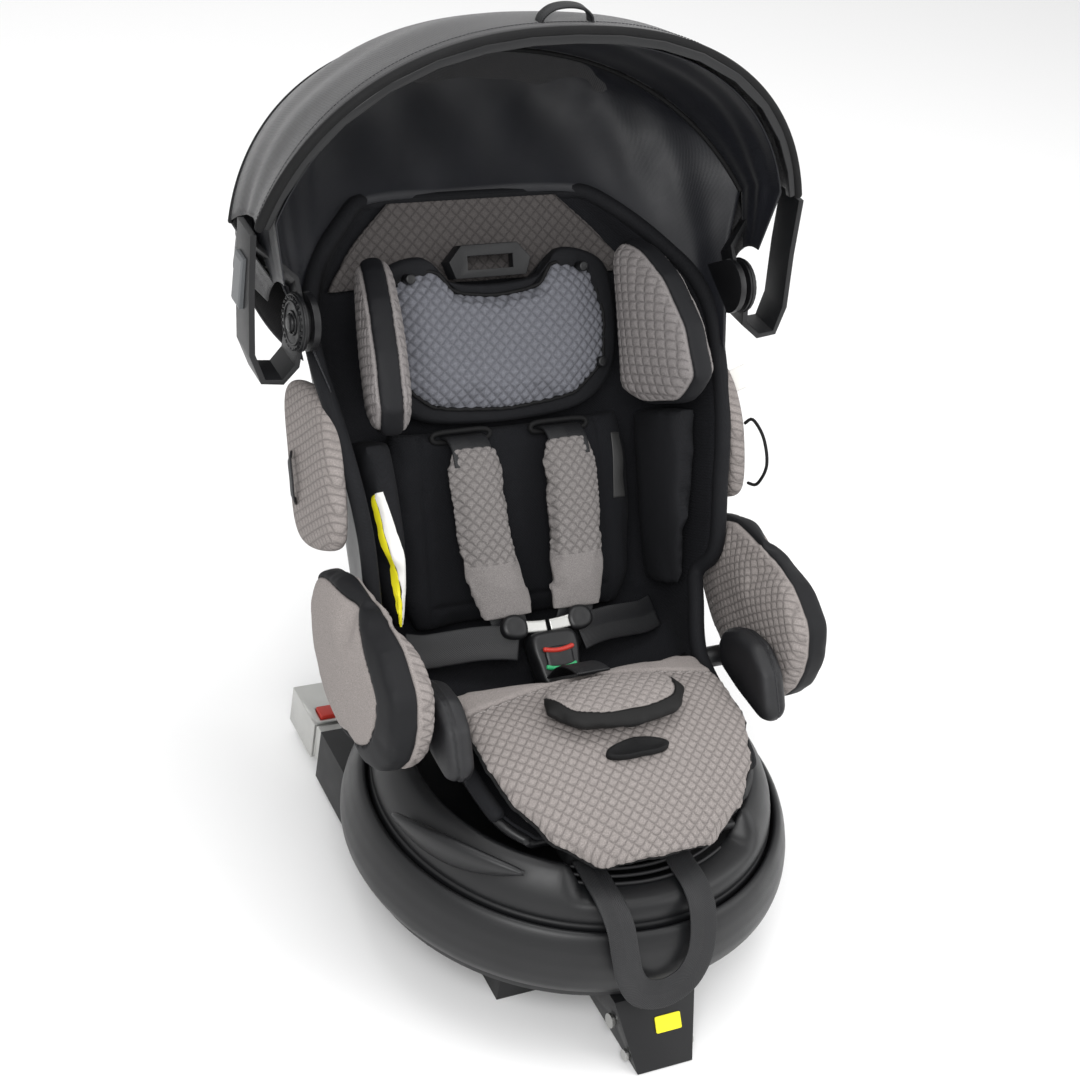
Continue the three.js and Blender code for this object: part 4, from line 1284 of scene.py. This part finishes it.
buckle_face = on_buckle(0, 0, 1) - on_buckle(0, 0, 0)
GRIP = [(-2, -9), (8, -11), (18, -7), (20, 2), (14, 10), (2, 10), (-4, 2)]
GRIP_LEVELS = [(0.6, -4), (0.95, -4), (1, -1), (1, 3), (0.92, 5.6), (0.6, 6.4), (0.3, 6)]
for label, side in SIDES:
    blade = [on_buckle(side * u, 30 + u * u / 300, 2.2 + u * 0.02) for u in np.linspace(2, 30, 24)]
    made = strap(f"tongue_blade_{label}", blade, 0.011, 0.0028, buckle_face, 30)
    made.data.materials.clear()
    made.data.materials.append(ZINC)
    settle(made, "seat", "steel")
    ring = catmull([(side * (24 + u), 33 + v) for u, v in GRIP], 44, True)
    hub = sum(ring, Vector((0, 0))) / len(ring)
    rings = [[on_buckle(*(hub + (q - hub) * k), w) for q in ring] for k, w in GRIP_LEVELS]
    settle(loft(f"tongue_grip_{label}", rings, SATIN_BLACK), "seat", "black_plastic")
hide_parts("buckle_tongue")

CROTCH = [
    (-66, 0), (-58, 24), (-28, 34), (0, 37), (28, 34), (58, 24), (66, 0), (48, -26), (0, -36), (-48, -26),
]
crotch_edge = catmull(CROTCH, 80, True)
PALE_GREY = (0.3, 0.272, 0.26)
BINDING = (0.0046, 0.0044, 0.0044)
QUILT_CROTCH = quilt("quilt_crotch", PALE_GREY, scallops, fade=True, trim=BINDING, groove_shade=0.4)
crotch = padding("crotch_cushion", ["crotch_pad"], QUILT_CROTCH, 0.0036, 12, 0.005)
mm = swivel_mm(crotch)
depth_in = inside_by(mm[:, :2] + np.array((0, 40)), crotch_edge)
band = depth_in - 13 * np.clip((-14 - mm[:, 1]) / 22, 0, 1)
painted(crotch, "band", band * MM)
crown = 0.003 * np.clip(depth_in / 26, 0, 1) * (normals_of(crotch.data)[:, 2] > 0)
raised(crotch, 0.0012 * (band < 0) + crown)
quilted(crotch, lambda x, y, z: (x, y), scallops, 0.0006, (band > 3) * 1.0)
settle(crotch, "seat", "grey_quilt", "crotch_pad")
run = [place(0, y, z) for y, z in ((2, 243), (14, 239), (28, 231), (38, 220), (45, 207), (52, 196))]
made = strap("crotch_webbing", run, 0.032, 0.0024, (0, 0.5, 0.8))
settle(made, "seat", "webbing", "crotch_strap")

# Adjuster webbing: one loop of the same webbing, out of the guide, over the ring and back.
LOOP = [
    (-50, -116.4, 151), (-50, -142, 149), (-50, -165, 147), (-49, -184, 138), (-47, -197, 118),
    (-42, -204, 98), (-30, -208, 82), (-10, -209, 76), (9, -208, 84), (20, -204, 100),
    (25, -197, 118), (27, -184, 138), (28, -165, 147), (28, -142, 149), (28, -116.4, 151),
]
made = strap("adjuster_webbing", [place(*p) for p in LOOP], 0.025, 0.0022, (0, -0.9, 0.45), 120)
settle(made, "seat", "webbing", "adjuster_strap")


# ---------------------------------------------------------------------------------------------------------
# Hood: grey mesh cloth over three bows that fold back about one pivot, lined with navy satin. A bound brim
# runs along the front bow, and a webbing loop stands on its crown.
PIVOT = (216, 478)
HOOD_HALF, HOOD_RISE, HOOD_HEM, HOOD_POWER = 259, 242, 88, 2.3
FRONT_ANGLE, MIDDLE_ANGLE, REAR_ANGLE = 1.0, 45.0, 86.0
REAR_INSET = 13
HOOD_CLOTH = Finish("hood_mesh", Roughness=0.62, Sheen_Weight=0.25, Sheen_Roughness=0.4)
u, v = HOOD_CLOTH.flat()
threads = lower(puff(to_nearest(u / 0.0017) * 0.0017, 0.0006), puff(to_nearest(v / 0.0017) * 0.0017, 0.0006))
mesh_tone = HOOD_CLOTH.blend(threads, (0.05, 0.049, 0.051), (0.015, 0.015, 0.0165))
faded = (HOOD_CLOTH.noise(9.0, 3.0) - 0.35) * 0.9
HOOD_CLOTH.set("Base Color", HOOD_CLOTH.blend(faded, mesh_tone, (0.038, 0.037, 0.039)))
HOOD_CLOTH.bump(threads * -1.0 + HOOD_CLOTH.noise(35.0) * 2.0, 0.35, 0.0006)
SATIN = Finish("navy_satin", Sheen_Weight=0.1, Sheen_Roughness=0.35)
u, v = SATIN.flat()
SATIN.set("Base Color", SATIN.blend(SATIN.noise(26.0, 3.0), (0.0026, 0.003, 0.0052), (0.007, 0.0078, 0.012)))
SATIN.set("Roughness", SATIN.noise(40.0) * 0.16 + 0.42)
SATIN.bump(sine(u * (2 * math.pi / 0.0009)) * 0.3 + SATIN.noise(1200.0) * 0.4, 0.3, 0.0004)


def hood_point(u, angle, inset):
    """A point of the hood at u across it and an angle back. Past 1 lies the gusset to the pivot."""
    half, rise = HOOD_HALF - inset, HOOD_RISE - inset
    hem = math.acos(min(1, (HOOD_HEM / rise)) ** (HOOD_POWER / 2))
    turn = max(-1, min(1, u)) * hem
    x = half * math.copysign(abs(math.sin(turn)) ** (2 / HOOD_POWER), turn)
    r = rise * math.cos(turn) ** (2 / HOOD_POWER)
    inward = max(0, abs(u) - 1) / 0.25
    x += (math.copysign(222, u) - x) * inward
    r += (34 - r) * inward
    a = math.radians(angle)
    return place(x, PIVOT[0] + r * math.sin(a), PIVOT[1] + r * math.cos(a))


def hood_chart(x, y, z):
    angle = np.arctan2(y - PIVOT[0], z - PIVOT[1])
    return x, angle * HOOD_RISE + np.abs(x) * 0.3


ACROSS = np.linspace(-1, 1, 97)
WITH_GUSSETS = np.linspace(-1.25, 1.25, 121)


def hood_sheet(name, start, end, insets, sag, fold, material, columns=ACROSS, steps=34):
    """Cloth between two bows: it dips between them, and long soft folds run across it."""
    rows = []
    for i in range(steps + 1):
        t = i / steps
        hang = math.sin(math.pi * t)
        inset = insets[0] + (insets[1] - insets[0]) * t
        row = []
        for u in columns:
            folds = math.sin(5 * u + 7 * t) * math.cos(9 * t - 3 * u) + 0.5 * math.sin(13 * u + 4 * t)
            row.append(hood_point(u, start + (end - start) * t, inset + hang * (sag + fold * folds)))
        rows.append(row)
    made = walled(name, rows, 0.0011, material)
    charted(made, hood_chart)
    return made


def between(first, second):
    """Two points on the crown for a blend, eased in from the bows."""
    a, b = hood_point(0, first, 0), hood_point(0, second, 0)
    return a + (b - a) * 0.1, a + (b - a) * 0.9


front_cloth = hood_sheet("hood_front_cloth", FRONT_ANGLE, MIDDLE_ANGLE, (-1.2, -1.2), 3.5, 1.6,
                         HOOD_CLOTH.material)
start, end = between(MIDDLE_ANGLE, FRONT_ANGLE)
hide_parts("hood_front_panel")
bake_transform(front_cloth)
front_lining = hood_sheet("hood_front_lining", FRONT_ANGLE + 1, MIDDLE_ANGLE, (13.5, 13.5), 3, 2.2,
                          SATIN.material, WITH_GUSSETS)
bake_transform(front_lining)
rear_cloth = hood_sheet("hood_rear_cloth", MIDDLE_ANGLE, REAR_ANGLE, (-1.2, REAR_INSET), 5.5, 1.8,
                        HOOD_CLOTH.material, WITH_GUSSETS)
start, end = between(REAR_ANGLE, MIDDLE_ANGLE)
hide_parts("hood_rear_panel")
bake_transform(rear_cloth)

def across_shell(side_points, top):
    """An edge over the shell from flank to flank, from its left points and the middle one."""
    left = [on_back(*q) for q in side_points]
    right = [on_back(-x, s, p) for x, s, p in side_points[::-1]]
    return catmull([*left, on_back(*top), *right], len(ACROSS))


# Satin drape inside, from the middle bow down to the shell's top edge, in soft folds.
SHELL_TOP = [(-187, 236, 62), (-188, 285, 26), (-164, 338, -6), (-116, 386, -34)]
shell_edge = across_shell(SHELL_TOP, (0, 392, -48))
rows = []
DRAPE_STEPS = 40
for i in range(DRAPE_STEPS + 1):
    t = i / DRAPE_STEPS
    row = []
    for u, edge in zip(ACROSS, shell_edge):
        top = hood_point(u, MIDDLE_ANGLE, 14)
        hang = math.sin(math.pi * t) ** 0.8
        folds = 5.5 * math.sin(11 * u + 3 * t) * math.sin(4 * t + 1)
        folds += 3.4 * math.sin(23 * u - 6 * t) + 2 * math.sin(37 * u + 9 * t)
        out = (46 * (1 - u * u) + 12 + folds * (0.35 + 0.65 * t)) * hang
        row.append(top + (edge - top) * t + Vector((0, out * 0.9, out * 0.35)) * MM)
    rows.append(row)
drape = walled("hood_drape", rows, 0.0011, SATIN.material)
charted(drape, lambda x, y, z: (x, z - y * 0.3))
on_back(0, 392, -48)
hood_point(0, MIDDLE_ANGLE, 14)
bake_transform(drape)

# Skirt outside, from the rear bow in to the shell's back.
back_edge = across_shell([(-190, 262, 10), (-176, 300, -30), (-120, 322, -56)], (0, 330, -60))
rows = []
SKIRT_STEPS = 24
for i in range(SKIRT_STEPS + 1):
    t = i / SKIRT_STEPS
    row = []
    for u, edge in zip(ACROSS, back_edge):
        sag = 9 * math.sin(math.pi * t) * (1 + 0.3 * math.sin(17 * u))
        row.append(hood_point(u, REAR_ANGLE, REAR_INSET).lerp(edge, t) - Vector((0, 0, sag)) * MM)
    rows.append(row)
skirt = walled("hood_skirt", rows, 0.0011, HOOD_CLOTH.material)
charted(skirt, lambda x, y, z: (x, y))
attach(skirt, "seat")

# Piping along the bows: name, angle, inset, radius and body.
WELTS = [
    ("brim_binding", FRONT_ANGLE - 1.4, -0.8, 0.0042, "hood_front"),
    ("middle_welt", MIDDLE_ANGLE, -1.6, 0.0022, "hood_mid"),
    ("inner_welt", MIDDLE_ANGLE, 14.6, 0.0024, "hood_mid"),
]
for name, angle, inset, radius, body in WELTS:
    made = tube(name, [hood_point(u, angle, inset) for u in np.linspace(-1, 1, 150)], radius, PIPING, 10)
    settle(made, body, "black_mesh")
for name, angle, body in (("brim_stitches", 3.4, "hood_front"), ("middle_stitches", 43.6, "hood_mid")):
    row = [hood_point(u, angle, -2.6) for u in np.linspace(-0.99, 0.99, 200)]
    stitches(name, [row], THREAD_BLACK, body, "hood_cloth")
softened("brim_bow", "front_bow", SATIN_BLACK, 0.0012, "hood_front", "black_plastic")
softened("middle_bow", "mid_bow", SATIN_BLACK, 0.0012, "hood_mid", "black_plastic")
softened("back_bow", "rear_bow", SATIN_BLACK, 0.0012, "seat", "black_plastic")
CROWN = (PIVOT[0] + 21, PIVOT[1] + HOOD_RISE + 0.4)
HOOP = [(-23, -1), (-21, 5), (-13, 11), (0, 13), (13, 11), (21, 5), (23, -1)]


def hoop_face(t):
    """The hoop's outward side, turning with it from its left foot to its right one."""
    return -math.cos(math.pi * t), 0, math.sin(math.pi * t) + 0.01


hoop = [place(x, CROWN[0], CROWN[1] + z) for x, z in HOOP]
settle(strap("hood_hoop", hoop, 0.011, 0.0026, hoop_face, 60), "hood_front", "webbing", "hood_loop")


# Hood pivots: a plate on the shell, a toothed disc, and a bent arm up to the brim with a grey slider.
def about_pivot(x, r, angles):
    """Points round the hood's pivot at x out from the seat's middle."""
    return [place(x, PIVOT[0] + r * math.cos(a), PIVOT[1] + r * math.sin(a)) for a in angles]


SLIDER_GREY = plastic("slider_grey", (0.1, 0.105, 0.11), 0.4)
ONCE_ROUND = np.linspace(0, 2 * math.pi, 49)
CAP_LEVELS = [(7, 211), (7.4, 215.4), (6.6, 217), (4, 217.6), (1.5, 217.7)]
SLIDER_AT = (228, 515)
SLIDER_CORNERS = ((-9, -22), (9, -22), (9, 22), (-9, 22))
for label, side in SIDES:
    softened(f"pivot_plate_{label}", f"hood_mount_{label}", SATIN_BLACK, 0.0012, "seat", "black_plastic")
    softened(f"brim_arm_{label}", f"hood_arm_{label}", SATIN_BLACK, 0.0018, "hood_front", "black_plastic")
    teeth = about_pivot(side * 213.8, 21.4, ONCE_ROUND)
    stitches(f"ratchet_teeth_{label}", [teeth], SATIN_BLACK, "hood_front", "black_plastic",
             0.0052, 0.0026, 0.0013)
    for k, (r, x) in enumerate(((24, 210.6), (17.6, 213.6), (9.4, 213.8))):
        made = tube(f"pivot_ring_{label}_{k}", about_pivot(side * x, r, ONCE_ROUND), 0.0011, SATIN_BLACK, 8)
        settle(made, "hood_front", "black_plastic")
    cap = [about_pivot(side * x, r, around(32)) for r, x in CAP_LEVELS]
    settle(loft(f"pivot_cap_{label}", cap, SATIN_BLACK), "seat", "black_plastic")
    tab = [[place(side * x, SLIDER_AT[0] + k * y, SLIDER_AT[1] + k * z) for y, z in SLIDER_CORNERS]
           for x, k in ((255, 1), (258.4, 1), (259.6, 0.86))]
    made = loft(f"arm_slider_{label}", tab, SLIDER_GREY, smooth=False)
    settle(made, "hood_front", "black_plastic")

# Elastic loop on the right flank: a thin round cord from the shell's side and back into it.
ELASTIC = [
    (204.2, 150, 374), (208, 145, 380), (210, 126, 372), (210, 112, 352), (208, 116, 330), (204.2, 124, 326),
]
elastic_route = catmull([place(*p) for p in ELASTIC], 40)
ELASTIC_FINISH = knit("elastic_black", (0.009, 0.009, 0.01), 0.0009, 0.5, 0.7, 0.3)
elastic = tube("flank_elastic", elastic_route, 0.0015, ELASTIC_FINISH, 12)
settle(elastic, "seat", "elastic", "elastic_loop")


# ---------------------------------------------------------------------------------------------------------
# Labels, all blank: a yellow and white strip on the left side bolster, a dark woven strip beside the harness
# and a white tag on the right flank, with a flat black tab on the left one.
def stuck_on(name, under, corners, lift, material):
    """A thin label laid on a piece. corners run round it in the backrest's measures, from its upper left."""
    upper_left, upper_right, lower_right, lower_left = (on_back(*q) for q in corners)
    rows = []
    for t in np.linspace(0, 1, 33):
        a, b = upper_left.lerp(lower_left, t), upper_right.lerp(lower_right, t)
        rows.append(laid_on(under, [a.lerp(b, k) for k in np.linspace(0, 1, 17)], lift))
    return settle(walled(name, rows, 0.0004, material), "seat", "black_mesh")


bolster = bpy.data.objects["back_wing_left"]
WHITE_CORNERS = ((-160, 146, 58), (-148, 149, 58), (-112, 24, 48), (-124, 18, 48))
YELLOW_CORNERS = ((-176, 142, 58), (-161, 146, 58), (-125, 18, 48), (-140, 12, 48))
WOVEN_CORNERS = ((100, 172, 3), (114, 172, 3), (110, 112, 3), (96, 112, 3))
stuck_on("warning_strip_white", bolster, WHITE_CORNERS, 0.0012, LABEL_WHITE)
stuck_on("warning_strip_yellow", bolster, YELLOW_CORNERS, 0.0012, STICKER_YELLOW)
stuck_on("woven_strip", back_pad, WOVEN_CORNERS, 0.0008, LABEL_INK)
tag = [[on_back(x, s + 0.4 * (x - 196), 48 + 0.5 * (x - 196)) for x in np.linspace(198, 212, 9)]
       for s in np.linspace(218, 196, 13)]
settle(walled("care_tag", tag, 0.0004, LABEL_WHITE), "seat", "black_mesh")
TAB = [(-202, 184, -8), (-206, 180, -3), (-207, 164, 0), (-206, 148, -3), (-202, 144, -8)]
tab = catmull([on_back(*q) for q in TAB], 40)
settle(strap("flank_tab", tab, 0.007, 0.0016, (-1, 0, 0), 60), "seat", "webbing")
